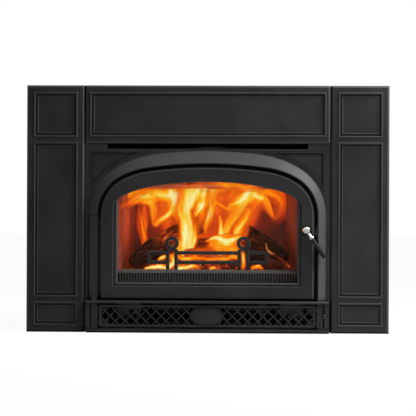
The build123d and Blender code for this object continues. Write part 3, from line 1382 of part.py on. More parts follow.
# ---------------------------------------------------------------- primary air control
arm_z = lever_z + lever_arm
with BuildPart() as air_lever:
    x0, x1 = lever_x - lever_thickness / 2, lever_x + lever_thickness / 2
    block(x0, x1, knob_y, lever_pivot_y, lever_z - lever_height / 2, lever_z + lever_height / 2)
    block(x0, x1, lever_pivot_y - lever_height / 2, lever_pivot_y + lever_height / 2, lever_z, arm_z)
    cross_rod(x0, x1, lever_pivot_y, lever_z, lever_height)
    cross_rod(x0, x1, lever_pivot_y, arm_z, lever_height / 2)
    cross_rod(x0 - drive_pin_length, x0 + 1, lever_pivot_y, arm_z, drive_pin_radius)
    cross_rod(x0 - 1, x1 + 1, lever_pivot_y, lever_z, pivot_radius + pin_clearance, mode=Mode.SUBTRACT)
pieces["air_lever"] = air_lever

with BuildPart() as air_lever_knob:
    rod(lever_x, knob_y - knob_length, knob_y, lever_z, knob_radius)
    chamfer(edges_at(air_lever_knob.part, knob_y - knob_length), knob_radius * 0.45)
pieces["air_lever_knob"] = air_lever_knob

with BuildPart() as air_lever_bracket:
    x0 = lever_x + lever_thickness / 2 + tight
    block(x0, x0 + 3, lever_pivot_y - 12, lever_pivot_y + 12, pan_top, lever_z + 12)
    block(x0 - 16, x0 + 3, lever_pivot_y - 12, lever_pivot_y + 12, pan_top, pan_top + 3)
    cross_rod(lever_x - lever_thickness / 2 - 3, x0 + 1, lever_pivot_y, lever_z, pivot_radius)
pieces["air_lever_bracket"] = air_lever_bracket

box_z0 = arm_z + shutter_rise + shutter_thickness + tight
with BuildPart() as air_inlet_box:
    block(inlet_x0, inlet_x1, inlet_y0, inlet_y1, box_z0, firebox_bottom)
    block(inlet_x0 + 3, inlet_x1 - 3, inlet_y0 + 3, inlet_y1 - 3, box_z0 + 3, firebox_bottom + 1,
          mode=Mode.SUBTRACT)
    block(inlet_x0 + 16, inlet_x1 - 12, port_y - port_length / 2, port_y + port_length / 2, box_z0 - 1,
          box_z0 + 4, mode=Mode.SUBTRACT)
    for x0, x1 in ((inlet_x0, inlet_x0 + guide_width), (inlet_x1 - guide_width, inlet_x1)):
        block(x0, x1, inlet_y0, inlet_y1, box_z0 - 2 * tight - shutter_thickness - 2, box_z0)
    block(inlet_x0 + guide_width / 2, inlet_x1 + 1, inlet_y0 + guide_end, inlet_y1 - guide_end,
          box_z0 - 2 * tight - shutter_thickness, box_z0, mode=Mode.SUBTRACT)
pieces["air_inlet_box"] = air_inlet_box

with BuildPart() as air_shutter:
    z1 = box_z0 - tight
    z0 = z1 - shutter_thickness
    block(inlet_x0 + 6, tab_x1, port_y - port_length, port_y + port_length, z0, z1)
    block(inlet_x0 + 16, inlet_x1 - 12, port_y, port_y + port_length - 3, z0 - 1, z1 + 1, mode=Mode.SUBTRACT)
    block(tab_x0, tab_x1, lever_pivot_y - 9, lever_pivot_y + 9, arm_z - 8, z1)
    reach = drive_pin_radius + tight
    block(tab_x0 - 1, tab_x1 + 1, lever_pivot_y - reach, lever_pivot_y + reach, arm_z - 6, arm_z + reach,
          mode=Mode.SUBTRACT)
pieces["air_shutter"] = air_shutter

for name, piece in pieces.items():
    piece.part.label = name
    export_step(piece.part, f"parts/{name}.step")
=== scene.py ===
"""Looks of the fireplace insert: cast iron, chrome, firebrick, glass, burning logs and flames.

Metres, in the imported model's frame. The door faces -Y and +X is to the viewer's right.
"""

import json
import math
import random

import bmesh
import bpy
import numpy as np
from mathutils import Matrix, Vector, noise


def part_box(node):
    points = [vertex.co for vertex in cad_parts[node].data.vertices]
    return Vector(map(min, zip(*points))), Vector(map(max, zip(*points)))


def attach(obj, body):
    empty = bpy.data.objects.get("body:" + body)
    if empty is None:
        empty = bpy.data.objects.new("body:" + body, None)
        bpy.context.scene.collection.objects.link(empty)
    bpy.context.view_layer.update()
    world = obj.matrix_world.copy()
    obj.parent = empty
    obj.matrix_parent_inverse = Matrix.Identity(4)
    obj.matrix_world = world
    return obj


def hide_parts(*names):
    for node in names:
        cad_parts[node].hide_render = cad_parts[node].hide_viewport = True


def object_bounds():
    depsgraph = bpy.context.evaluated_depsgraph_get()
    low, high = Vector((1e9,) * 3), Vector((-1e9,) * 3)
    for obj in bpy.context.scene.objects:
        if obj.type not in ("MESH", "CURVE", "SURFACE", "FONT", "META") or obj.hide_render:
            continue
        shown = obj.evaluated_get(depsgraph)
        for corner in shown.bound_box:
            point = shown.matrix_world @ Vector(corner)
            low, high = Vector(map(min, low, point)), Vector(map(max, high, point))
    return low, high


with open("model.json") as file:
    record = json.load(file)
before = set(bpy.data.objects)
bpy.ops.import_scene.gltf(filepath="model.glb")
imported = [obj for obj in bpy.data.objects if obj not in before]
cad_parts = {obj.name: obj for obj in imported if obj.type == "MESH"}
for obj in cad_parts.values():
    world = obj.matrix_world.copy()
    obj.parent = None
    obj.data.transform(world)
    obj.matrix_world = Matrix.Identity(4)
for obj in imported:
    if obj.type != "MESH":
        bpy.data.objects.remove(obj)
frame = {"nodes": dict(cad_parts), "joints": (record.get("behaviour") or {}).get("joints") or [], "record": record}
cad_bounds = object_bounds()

NODES = frame["nodes"]
JOINTS = {joint["name"]: joint for joint in frame["joints"]}
SLOT_OF = {entry["node"]: entry["material_slot"] for entry in frame["record"]["subparts"]}
BRICK_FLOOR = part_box("floor_bricks")[1][2]     # the fire lies on it
noise.seed_set(4)                              # noise vectors would follow the clock otherwise

# ---------------------------------------------------------------- named sizes, in metres
MM = 0.001
EDGE_RADIUS = {"cast_iron": 0.0007, "firebrick": 0.0012}    # material slot: rounding of its edges
GUARD_FULLNESS = 0.0013                        # how far the log guard's surface swells
SEAM_DEPTH = 0.015                             # from the surround's front to the strips behind its seams
SEAM_STRIP_RUN = 0.005                         # those strips' size from front to rear
SEAM_OVERLAP = 0.0005                          # how far they reach behind each neighbour
STRIP_LIP = 0.006                              # width of their turned rear edge
STRIP_SHEET = 0.0012                           # and its thickness
STRIP_EDGE = 0.0003                            # rounding of every strip
DEFLECTOR_HALF = 0.300                         # half the width of the strip over the air outlet
LOGS = {                                       # node: both ends, radius, split side in degrees, tip radius
    "log_back": ((-0.1647, 0.2899, 0.2193), (0.1647, 0.2899, 0.2193), 0.038, -145, 0.036),
    "log_front": ((-0.0699, 0.1179, 0.2073), (0.1392, 0.1346, 0.2073), 0.026, 215, 0.023),
    "log_left": ((-0.2240, 0.1290, 0.1890), (-0.0250, 0.2905, 0.3055), 0.034, -35, 0.011),
    "log_right": ((0.2188, 0.1294, 0.2030), (0.0787, 0.2785, 0.2887), 0.028, 215, 0.017),
}
LOG_RINGS = 96
LOG_SIDES = 64
LOG_TAPER = 0.34                               # share of a log, from its lower end, that is burnt thinner
SAWN_EDGE = 0.006                              # how far from an end its bark is thinned down
ASH_HEIGHT = 0.0135                            # of the ember bed's middle
COAL_COUNT = 420
COAL_POINTS = 14
COAL_SIZES = (0.004, 0.011)
FRONT_COALS_Y = 0.14                           # nearer ones are larger
TWIG_ROUTE = [(0.163, 0.075, 0.246), (0.168, 0.083, 0.226), (0.186, 0.092, 0.213), (0.215, 0.100, 0.192),
              (0.232, 0.105, 0.178)]
EYE = Vector((0.1016, -4.0208, 0.3442))        # the camera, a long lens square to the front
TARGET = Vector((0.0016, -0.022, 0.3442))      # what it looks at, on the door
VIEW_WIDTH = 1.1465                            # seen across the picture at the target
CAMERA_ROLL = math.radians(0.23)               # the photograph's slight tilt
FLOOR_REACH = 15.0                             # half the floor's side
FLOOR_WHITE = 0.95                             # share of plain white in what the camera sees of it
KEY_PLACE = Vector((1.25, -0.42, 1.60))
KEY_TARGET = Vector((0.05, -0.02, 0.36))
KEY_SIZE = 1.0
KEY_POWER = 85
FIRE_COLOUR = (1.0, 0.24, 0.07)
FIRE_LIGHTS = {                                # name: place, power, radius
    "fire_middle": ((-0.04, 0.13, 0.30), 0.26, 0.03),
    "fire_left": ((-0.16, 0.17, 0.32), 0.30, 0.03),
    "fire_right": ((0.08, 0.19, 0.32), 0.04, 0.03),
    "fire_low": ((-0.05, 0.10, 0.205), 0.12, 0.015),
}
MIX_A, MIX_B, MIXED = 6, 7, 2                  # the colour sockets of Blender's Mix node


# ---------------------------------------------------------------- material building
class Recipe:
    """A material's node tree, built a node at a time."""

    def __init__(self, name):
        self.mat = bpy.data.materials.new(name)
        self.mat.use_nodes = True
        self.tree = self.mat.node_tree
        self.shader = self.tree.nodes["Principled BSDF"]

    def set(self, **values):
        """Plain values on the shader; an underscore in a name stands for a space."""
        for key, value in values.items():
            self.shader.inputs[key.replace("_", " ")].default_value = value
        return self

    def into(self, **outputs):
        """Other nodes' outputs, linked to the shader."""
        for key, value in outputs.items():
            self.tree.links.new(value, self.shader.inputs[key.replace("_", " ")])
        return self

    def node(self, kind, settings=None, **inputs):
        """A node with its settings, and with inputs that are values or other nodes' outputs."""
        made = self.tree.nodes.new(kind)
        for key, value in (settings or {}).items():
            setattr(made, key, value)
        for key, value in inputs.items():
            self.feed(made.inputs[key.replace("_", " ")], value)
        return made

    def feed(self, socket, value):
        """Links another node's output to a socket, or sets a plain value on it."""
        if isinstance(value, bpy.types.NodeSocket):
            self.tree.links.new(value, socket)
        else:
            socket.default_value = value

    def place(self):
        """Object coordinates."""
        return self.node("ShaderNodeTexCoord").outputs["Object"]

    def stretched(self, scale):
        """Object coordinates with a scale for each axis."""
        mapping = self.node("ShaderNodeMapping", Vector=self.place())
        mapping.inputs["Scale"].default_value = scale
        return mapping.outputs["Vector"]

    def part_of(self, vector, axis):
        """One axis of a vector."""
        return self.node("ShaderNodeSeparateXYZ", Vector=vector).outputs[axis]

    def noise(self, scale, detail=3.0, rough=0.55, vector=None, distortion=0.0):
        made = self.node("ShaderNodeTexNoise", Vector=vector or self.place(), Scale=scale, Detail=detail,
                         Roughness=rough, Distortion=distortion)
        return made.outputs["Fac"]

    def ramp(self, value, *stops):
        """Colour ramp through (position, colour) stops."""
        made = self.node("ShaderNodeValToRGB", Fac=value)
        while len(made.color_ramp.elements) < len(stops):
            made.color_ramp.elements.new(0.5)
        for element, (position, colour) in zip(made.color_ramp.elements, stops):
            element.position = position
            element.color = (*colour, 1)
        return made.outputs["Color"]

    def span(self, value, low, high, start=0.0, end=1.0, smooth=False):
        """Value taken from start..end onto low..high."""
        kind = "SMOOTHSTEP" if smooth else "LINEAR"
        made = self.node("ShaderNodeMapRange", {"interpolation_type": kind}, Value=value)
        for key, number in (("From Min", start), ("From Max", end), ("To Min", low), ("To Max", high)):
            made.inputs[key].default_value = number
        return made.outputs["Result"]

    def maths(self, operation, a, b=0.0):
        """One sum on two values."""
        made = self.node("ShaderNodeMath", {"operation": operation})
        self.feed(made.inputs[0], a)
        self.feed(made.inputs[1], b)
        return made.outputs["Value"]

    def mix(self, factor, a, b):
        """Colour between a and b."""
        made = self.node("ShaderNodeMix", {"data_type": "RGBA"})
        self.feed(made.inputs[0], factor)
        self.feed(made.inputs[MIX_A], a)
        self.feed(made.inputs[MIX_B], b)
        return made.outputs[MIXED]

    def bump(self, height, strength, distance):
        """Fine relief on the shader."""
        made = self.node("ShaderNodeBump", Height=height, Strength=strength, Distance=distance)
        self.into(Normal=made.outputs["Normal"])


def cast_iron():
    """Satin stove paint over fine sand-cast iron, with a painted highlight on its bevelled edges and painted shade
    in its corners.
    """
    m = Recipe("cast_iron").set(Specular_IOR_Level=0.07)
    cloud = m.noise(9.0, 4.0)
    sand = m.noise(1500.0, 2.0, 0.6)
    pores = m.noise(330.0, 3.0, 0.7)
    paint = m.mix(m.span(cloud, 0, 1, 0.35, 0.65), (0.015, 0.015, 0.0155, 1), (0.022, 0.022, 0.023, 1))
    # Painted highlight: faces turned part way between front and side, the rounded edges and bevels, are painted
    # paler.
    tilt = m.maths("ABSOLUTE", m.part_of(m.node("ShaderNodeTexCoord").outputs["Normal"], "Y"))
    painted_edge_highlight = m.maths("MULTIPLY", m.span(tilt, 0.0, 1.0, 0.25, 0.5), m.span(tilt, 1.0, 0.0, 0.93, 0.99))
    paint_with_edge_highlight = m.mix(painted_edge_highlight, paint, (0.046, 0.046, 0.047, 1))
    # Painted shade: corners and grooves found by ambient occlusion are painted near black.
    crevice_shade_ao = m.node("ShaderNodeAmbientOcclusion", {"samples": 8}, Distance=0.008).outputs["AO"]
    m.into(Base_Color=m.mix(m.span(crevice_shade_ao, 0, 1, 0.45, 0.92), (0.002, 0.002, 0.002, 1), paint_with_edge_highlight),
           Roughness=m.span(m.maths("ADD", cloud, m.maths("MULTIPLY", pores, 0.5)), 0.36, 0.5, 0.5, 1.0))
    m.bump(m.maths("ADD", sand, m.maths("MULTIPLY", pores, 1.4)), 0.16, 0.0004)
    return m.mat


def plate_steel():
    """Hot-rolled plate, darkened by heat, with scale and faint streaks."""
    m = Recipe("plate_steel").set(Metallic=0.35)
    streak = m.noise(30.0, 5.0, vector=m.stretched((1.0, 1.0, 0.25)))
    m.into(Base_Color=m.ramp(streak, (0.35, (0.022, 0.020, 0.019)), (0.6, (0.05, 0.042, 0.038)),
                             (0.8, (0.085, 0.06, 0.045))),
           Roughness=m.span(streak, 0.45, 0.7, 0.3, 0.7))
    m.bump(m.noise(260.0, 4.0), 0.25, 0.0006)
    return m.mat


def shade_black_steel():
    """Thin strip painted near black as painted shade, faintly mottled and dull."""
    m = Recipe("shade_black_steel").set(Specular_IOR_Level=0.05)
    cloud = m.noise(90.0, 3.0)
    m.into(Base_Color=m.mix(cloud, (0.002, 0.002, 0.002, 1), (0.005, 0.005, 0.005, 1)),
           Roughness=m.span(cloud, 0.8, 0.95, 0.3, 0.7))
    return m.mat


def galvanised():
    """Zinc-coated sheet with its spangle."""
    m = Recipe("galvanised").set(Metallic=0.9)
    cells = m.node("ShaderNodeTexVoronoi", Vector=m.place(), Scale=140.0).outputs["Color"]
    grey = m.node("ShaderNodeRGBToBW", Color=cells).outputs["Val"]
    m.into(Base_Color=m.mix(m.span(grey, 0, 1, 0.2, 0.8), (0.19, 0.194, 0.2, 1), (0.26, 0.265, 0.27, 1)),
           Roughness=m.span(grey, 0.32, 0.5, 0.2, 0.8))
    m.bump(m.noise(420.0, 2.0), 0.06, 0.0004)
    return m.mat


def ribbed_iron():
    """The hearth lip: painted shade in the grooves, a painted highlight on the rib tops, and fine brown ash on the
    ledge.
    """
    m = Recipe("ribbed_iron").set(Specular_IOR_Level=0.08, Roughness=0.6)
    # Painted highlight and shade: parts in front of a depth are painted pale, parts behind it near black.
    rib_light_and_groove_shade = m.span(m.part_of(m.place(), "Y"), 1.0, 0.0, 0.0085, 0.0105)
    iron = m.mix(rib_light_and_groove_shade, (0.008, 0.008, 0.008, 1), (0.085, 0.085, 0.082, 1))
    upward = m.part_of(m.node("ShaderNodeNewGeometry").outputs["Normal"], "Z")
    patches = m.span(m.noise(220.0, 4.0), 0.35, 1.0, 0.35, 0.65)
    dust = m.maths("MULTIPLY", m.span(upward, 0.0, 1.0, 0.6, 0.9), patches)
    m.into(Base_Color=m.mix(dust, iron, (0.16, 0.10, 0.08, 1)))
    m.bump(m.noise(420.0, 3.0), 0.15, 0.0004)
    return m.mat


def zinc():
    """Black zinc plating on fasteners and turned parts, with a little wear."""
    m = Recipe("zinc").set(Metallic=0.5)
    cloud = m.noise(160.0, 3.0)
    m.into(Base_Color=m.mix(cloud, (0.018, 0.018, 0.019, 1), (0.05, 0.05, 0.05, 1)),
           Roughness=m.span(cloud, 0.35, 0.55, 0.3, 0.7))
    m.bump(m.noise(900.0, 2.0), 0.05, 0.0002)
    return m.mat


def hot_tube():
    """Stainless tube with straw and blue heat tint, dulled by soot."""
    m = Recipe("hot_tube").set(Metallic=0.75)
    tint = m.noise(18.0, 3.0, vector=m.stretched((0.4, 1, 1)))
    m.into(Base_Color=m.ramp(tint, (0.3, (0.20, 0.10, 0.07)), (0.5, (0.42, 0.27, 0.17)),
                             (0.7, (0.26, 0.2, 0.2))),
           Roughness=m.span(m.noise(140.0, 3.0), 0.35, 0.6, 0.3, 0.7))
    m.bump(m.noise(600.0, 2.0), 0.1, 0.0003)
    return m.mat


def chrome():
    """Polished chrome with faint haze, and painted shade on its downward faces."""
    m = Recipe("chrome").set(Metallic=1.0)
    haze = m.noise(240.0, 3.0)
    # Painted shade: faces that turn downward are painted dark, broken up by the haze.
    upward = m.part_of(m.node("ShaderNodeTexCoord").outputs["Normal"], "Z")
    shade = m.maths("ADD", upward, m.maths("MULTIPLY", haze, 0.5))
    painted_underside_shade = m.span(shade, 1.0, 0.0, -0.35, 0.6, smooth=True)
    polish = m.mix(haze, (0.58, 0.57, 0.55, 1), (0.70, 0.69, 0.67, 1))
    m.into(Base_Color=m.mix(painted_underside_shade, polish, (0.07, 0.068, 0.063, 1)),
           Roughness=m.span(haze, 0.10, 0.2, 0.3, 0.7))
    return m.mat


def black_grip():
    """Moulded heat-resistant plastic, slightly polished by hands."""
    m = Recipe("black_grip").set(Specular_IOR_Level=0.14)
    wear = m.noise(60.0, 3.0)
    m.into(Base_Color=m.mix(wear, (0.005, 0.005, 0.005, 1), (0.009, 0.009, 0.0095, 1)),
           Roughness=m.span(wear, 0.2, 0.32, 0.3, 0.7))
    m.bump(m.noise(1300.0, 2.0), 0.08, 0.0002)
    return m.mat


def enamel_and_painted_shade():
    """Black blower paint, made darker than the paint itself as painted shade behind the grille."""
    m = Recipe("enamel_and_painted_shade").set(Specular_IOR_Level=0.1)
    cloud = m.noise(40.0, 3.0)
    m.into(Base_Color=m.mix(cloud, (0.003, 0.003, 0.0033, 1), (0.006, 0.006, 0.0064, 1)),
           Roughness=m.span(cloud, 0.32, 0.5, 0.3, 0.7))
    m.bump(m.noise(500.0, 3.0), 0.15, 0.0003)
    return m.mat


def firebrick():
    """Pressed refractory brick: fine pores, and soot in drifts that are drawn out upwards."""
    m = Recipe("firebrick").set(Specular_IOR_Level=0.2)
    cloud = m.noise(14.0, 5.0, 0.6)
    pores = m.noise(420.0, 3.0, 0.7)
    soot = m.noise(7.0, 5.0, 0.65, vector=m.stretched((1, 1, 0.5)))
    clay = m.mix(cloud, (0.36, 0.12, 0.095, 1), (0.52, 0.20, 0.15, 1))
    m.into(Base_Color=m.mix(m.span(soot, 0.0, 0.82, 0.42, 0.66), clay, (0.045, 0.03, 0.027, 1)),
           Roughness=m.span(cloud, 0.75, 0.95, 0.3, 0.7))
    m.bump(m.maths("ADD", pores, m.maths("MULTIPLY", cloud, 2.0)), 0.5, 0.0012)
    return m.mat


def fibre_board():
    """Pale pressed fibre with scorched patches."""
    m = Recipe("fibre_board").set(Specular_IOR_Level=0.1)
    scorch = m.noise(11.0, 5.0, 0.6)
    m.into(Base_Color=m.ramp(scorch, (0.35, (0.60, 0.55, 0.48)), (0.6, (0.42, 0.34, 0.27)),
                             (0.75, (0.2, 0.15, 0.12))),
           Roughness=m.span(scorch, 0.85, 0.97, 0.3, 0.7))
    m.bump(m.noise(380.0, 4.0, 0.7), 0.5, 0.0008)
    return m.mat


def woven(name, light, dark, scale):
    """Glass-fibre tape or rope: crossed yarns."""
    m = Recipe(name).set(Specular_IOR_Level=0.2, Roughness=0.85)
    wave = m.node("ShaderNodeTexWave", {"bands_direction": "DIAGONAL"}, Vector=m.place(), Scale=scale,
                  Distortion=2.0).outputs["Fac"]
    fuzz = m.noise(900.0, 3.0)
    m.into(Base_Color=m.mix(m.maths("MULTIPLY", wave, fuzz), (*dark, 1), (*light, 1)))
    m.bump(m.maths("ADD", wave, fuzz), 0.6, 0.001)
    return m.mat


def clear_glass():
    """Ceramic glass, seen through with only a faint sheen and a smoky tint."""
    m = Recipe("ceramic_glass").set(Alpha=0.045, IOR=1.5, Specular_IOR_Level=0.3, Transmission_Weight=0.0)
    haze = m.noise(5.0, 3.0)
    m.into(Base_Color=m.mix(haze, (0.05, 0.035, 0.02, 1), (0.09, 0.07, 0.05, 1)),
           Roughness=m.span(haze, 0.05, 0.12, 0.3, 0.7))
    return m.mat


def burning(name, char, ash, strength, coordinates):
    """Charred wood or coal whose cracks glow; the 'glow' attribute says where it is alight."""
    m = Recipe(name).set(Specular_IOR_Level=0.12, Emission_Strength=strength)
    where = coordinates(m)
    grain = m.noise(1.0, 5.0, 0.62, vector=where, distortion=0.5)
    fine = m.noise(1.7, 3.0, 0.55, vector=where, distortion=0.8)
    fissure = m.maths("ABSOLUTE", m.maths("SUBTRACT", fine, 0.5))
    crack = m.span(fissure, 1.0, 0.0, 0.0, 0.075, smooth=True)
    patch = m.span(grain, 0.0, 1.0, 0.42, 0.66, smooth=True)
    open_fire = m.maths("ADD", m.maths("MULTIPLY", crack, 0.55), m.maths("MULTIPLY", patch, 0.6))
    alight = m.node("ShaderNodeAttribute", {"attribute_name": "glow"}).outputs["Fac"]
    heat = m.maths("MULTIPLY", alight, open_fire)
    m.into(Base_Color=m.mix(m.span(grain, 0, 1, 0.46, 0.66), (*char, 1), (*ash, 1)),
           Roughness=m.span(grain, 0.8, 0.95, 0.3, 0.7),
           Emission_Color=m.ramp(heat, (0.0, (0, 0, 0)), (0.2, (0.10, 0.006, 0.001)),
                                 (0.45, (0.75, 0.06, 0.004)), (0.7, (1.0, 0.28, 0.02)),
                                 (1.0, (1.0, 0.72, 0.22))))
    m.bump(m.maths("ADD", grain, m.maths("MULTIPLY", crack, -0.6)), 0.8, 0.003)
    return m.mat


def along_the_grain(m):
    """Bark coordinates in metres, drawn out along the log."""
    bark = m.node("ShaderNodeUVMap", {"uv_map": "bark"}).outputs["UV"]
    mapping = m.node("ShaderNodeMapping", Vector=bark)
    mapping.inputs["Scale"].default_value = (170.0, 34.0, 1.0)
    return mapping.outputs["Vector"]


def lumpy(m):
    """Even coordinates for coals and ash."""
    return m.stretched((120.0, 120.0, 120.0))


def flame_material(name, clear, solid, coolest):
    """Flame coloured by its heat; clear below one heat, solid above another, no darker than coolest."""
    m = Recipe(name).set(Base_Color=(0, 0, 0, 1), Roughness=1.0, Specular_IOR_Level=0.0,
                         Emission_Strength=1.0)
    heat = m.node("ShaderNodeAttribute", {"attribute_name": "flame_heat"}).outputs["Fac"]
    colour = m.ramp(m.maths("MAXIMUM", heat, coolest),
                    (0.0, (0.025, 0.006, 0.005)), (0.12, (0.06, 0.009, 0.007)), (0.26, (0.26, 0.018, 0.005)),
                    (0.40, (0.72, 0.060, 0.004)), (0.55, (1.0, 0.16, 0.001)), (0.70, (1.0, 0.34, 0.004)),
                    (0.84, (1.0, 0.64, 0.045)), (1.0, (1.0, 0.93, 0.40)))
    m.into(Emission_Color=colour, Alpha=m.span(heat, 0.0, 1.0, clear, solid, smooth=True))
    return m.mat


MATERIALS = {                                  # by the CAD's material slots
    "cast_iron": cast_iron(),
    "steel_plate": plate_steel(),
    "galvanised_steel": galvanised(),
    "zinc_steel": zinc(),
    "stainless_tube": hot_tube(),
    "chrome": chrome(),
    "handle_black": black_grip(),
    "motor_paint": enamel_and_painted_shade(),
    "gland_plastic": black_grip(),
    "ceramic_glass": clear_glass(),
    "glass_tape": woven("glass_tape", (0.42, 0.40, 0.37), (0.16, 0.15, 0.14), 900.0),
    "rope_seal": woven("rope_seal", (0.16, 0.16, 0.155), (0.04, 0.04, 0.04), 700.0),
    "firebrick": firebrick(),
    "baffle_fibre": fibre_board(),
}
SPECIAL_FINISH = {                             # by node, where it differs from the slot's
    "hearth_lip": ribbed_iron(),
    "grille_catches": MATERIALS["steel_plate"],
    # the blower's pieces take the darkened blower black too, partly painted shade behind the grille
    "blower_left_housing": MATERIALS["motor_paint"],
    "blower_right_housing": MATERIALS["motor_paint"],
    "blower_plate": MATERIALS["motor_paint"],
    "blower_wheels": MATERIALS["motor_paint"],
}
# near-black painted shade for the strips in the seams and over the air outlet
STRIP_FINISH = shade_black_steel()
LOG_MATERIAL = burning("burning_wood", (0.008, 0.005, 0.004), (0.14, 0.075, 0.045), 1.0, along_the_grain)
EMBER_MATERIAL = burning("embers", (0.035, 0.022, 0.020), (0.26, 0.16, 0.145), 1.2, lumpy)


# ---------------------------------------------------------------- mesh building
def add_mesh(name, verts, faces, body, mat, smooth=True):
    """A new piece that rides on a body."""
    mesh = bpy.data.meshes.new(name)
    mesh.from_pydata([tuple(v) for v in verts], [], faces)
    mesh.validate()
    obj = bpy.data.objects.new(name, mesh)
    bpy.context.scene.collection.objects.link(obj)
    mesh.materials.append(mat)
    if smooth:
        mesh.polygons.foreach_set("use_smooth", [True] * len(mesh.polygons))
    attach(obj, body)
    return obj


def grid_faces(rows, columns, closed=False):
    """Quads over rows of points; closed joins each row's end to its start."""
    faces = []
    across = columns if closed else columns - 1
    for r in range(rows - 1):
        for c in range(across):
            n = (c + 1) % columns
            faces.append((r * columns + c, r * columns + n, (r + 1) * columns + n, (r + 1) * columns + c))
    return faces


def smooth_path(points, count):
    """Points along a smooth line through the given ones."""
    pts = [Vector(p) for p in points]
    pts = [pts[0] * 2 - pts[1]] + pts + [pts[-1] * 2 - pts[-2]]
    out = []
    spans = len(pts) - 3
    for i in range(count):
        t = spans * i / (count - 1)
        k = min(int(t), spans - 1)
        t -= k
        a, b, c, d = pts[k:k + 4]
        out.append(0.5 * ((2 * b) + (c - a) * t + (2 * a - 5 * b + 4 * c - d) * t * t
                          + (3 * b - 3 * c + d - a) * t ** 3))
    return out


def turned(name, profile, origin, way, body, mat):
    """A turned piece: profile is (distance along, radius) from end to end."""
    sides = 48
    across = way.orthogonal().normalized()
    other = way.cross(across)
    verts = []
    for along, radius in profile:
        for i in range(sides):
            angle = 2 * math.pi * i / sides
            radial = across * math.cos(angle) + other * math.sin(angle)
            verts.append(origin + way * along + radial * radius)
    faces = grid_faces(len(profile), sides, closed=True)
    first, last = len(verts), len(verts) + 1
    verts += [origin + way * profile[0][0], origin + way * profile[-1][0]]
    base = (len(profile) - 1) * sides
    for i in range(sides):
        n = (i + 1) % sides
        faces.append((first, n, i))
        faces.append((last, base + i, base + n))
    return add_mesh(name, verts, faces, body, mat)


def rounded(points, steps):
    """Profile whose inner corners are rounded by short curves."""
    out = [points[0]]
    for before, at, after in zip(points, points[1:], points[2:]):
        p, q, r = Vector(before), Vector(at), Vector(after)
        cut = 0.42 * min((p - q).length, (r - q).length)
        a, b = q + (p - q).normalized() * cut, q + (r - q).normalized() * cut
        for i in range(steps + 1):
            t = i / steps
            out.append(tuple(a * (1 - t) ** 2 + q * 2 * t * (1 - t) + b * t ** 2))
    return out + [points[-1]]


def lay_uvs(obj, layer_name, uvs):
    """Gives a piece one UV place for each of its points."""
    layer = obj.data.uv_layers.new(name=layer_name)
    for loop in obj.data.loops:
        layer.data[loop.index].uv = uvs[loop.vertex_index]


def soften(obj, width):
    """Joins the mesh's faces and rounds its sharp edges a little."""
    weld = obj.modifiers.new("weld", "WELD")
    weld.merge_threshold = 0.00001
    bevel = obj.modifiers.new("bevel", "BEVEL")
    bevel.width = width
    bevel.segments = 2
    bevel.limit_method = "ANGLE"
    bevel.angle_limit = math.radians(30)
    bevel.use_clamp_overlap = True
    bevel.harden_normals = True


# ---------------------------------------------------------------- castings and strips
def dress_frame():
    """Gives every CAD node its finish, softens castings and bricks, and fills out the log guard."""
    for name, node in NODES.items():
        slot = SLOT_OF[name]
        finish = SPECIAL_FINISH.get(name) or MATERIALS.get(slot)
        if finish:                             # the nodes of the wood and embers are replaced instead
            node.data.materials.clear()
            node.data.materials.append(finish)
        if slot in EDGE_RADIUS:
            soften(node, EDGE_RADIUS[slot])
    swell = NODES["log_guard"].modifiers.new("cast_fullness", "DISPLACE")
    swell.mid_level = 0.0
    swell.strength = GUARD_FULLNESS


def build_strip(name, low, high):
    """Steel strip between two corners; an upright one has its rear edge turned towards the middle."""
    x0, y0, z0 = low
    x1, y1, z1 = high
    section = [(x0, y0), (x1, y0), (x1, y1), (x0, y1)]
    if z1 - z0 > x1 - x0:
        lip_x = x0 - math.copysign(STRIP_LIP, x0)
        fold_y = y1 - STRIP_SHEET
        section[3:] = [(lip_x, y1), (lip_x, fold_y), (x0, fold_y)]
    rows = 12
    verts = [(x, y, z0 + (z1 - z0) * r / (rows - 1)) for r in range(rows) for x, y in section]
    faces = grid_faces(rows, len(section), closed=True)
    strip = add_mesh(name, verts, faces, "insert", STRIP_FINISH, smooth=False)
    soften(strip, STRIP_EDGE)


def build_strips():
    """Strips behind the side seams and over the air outlet, so that nothing shows through them; their near-black
    colour is painted shade.
    """
    front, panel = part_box("front_frame"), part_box("surround_right_panel")
    inner, outer = front[1][0] - SEAM_OVERLAP, panel[0][0] + SEAM_OVERLAP
    near = panel[0][1] + SEAM_DEPTH
    far = near + SEAM_STRIP_RUN
    low, high = 0.001, cad_bounds[1][2] - 0.001
    build_strip("seam_strip_right", (inner, near, low), (outer, far, high))
    build_strip("seam_strip_left", (-outer, near, low), (-inner, far, high))
    jacket_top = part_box("convection_jacket")[1][2]
    build_strip("outlet_deflector", (-DEFLECTOR_HALF, 0.010, jacket_top - 0.006),
                (DEFLECTOR_HALF, 0.0115, jacket_top + 0.012))


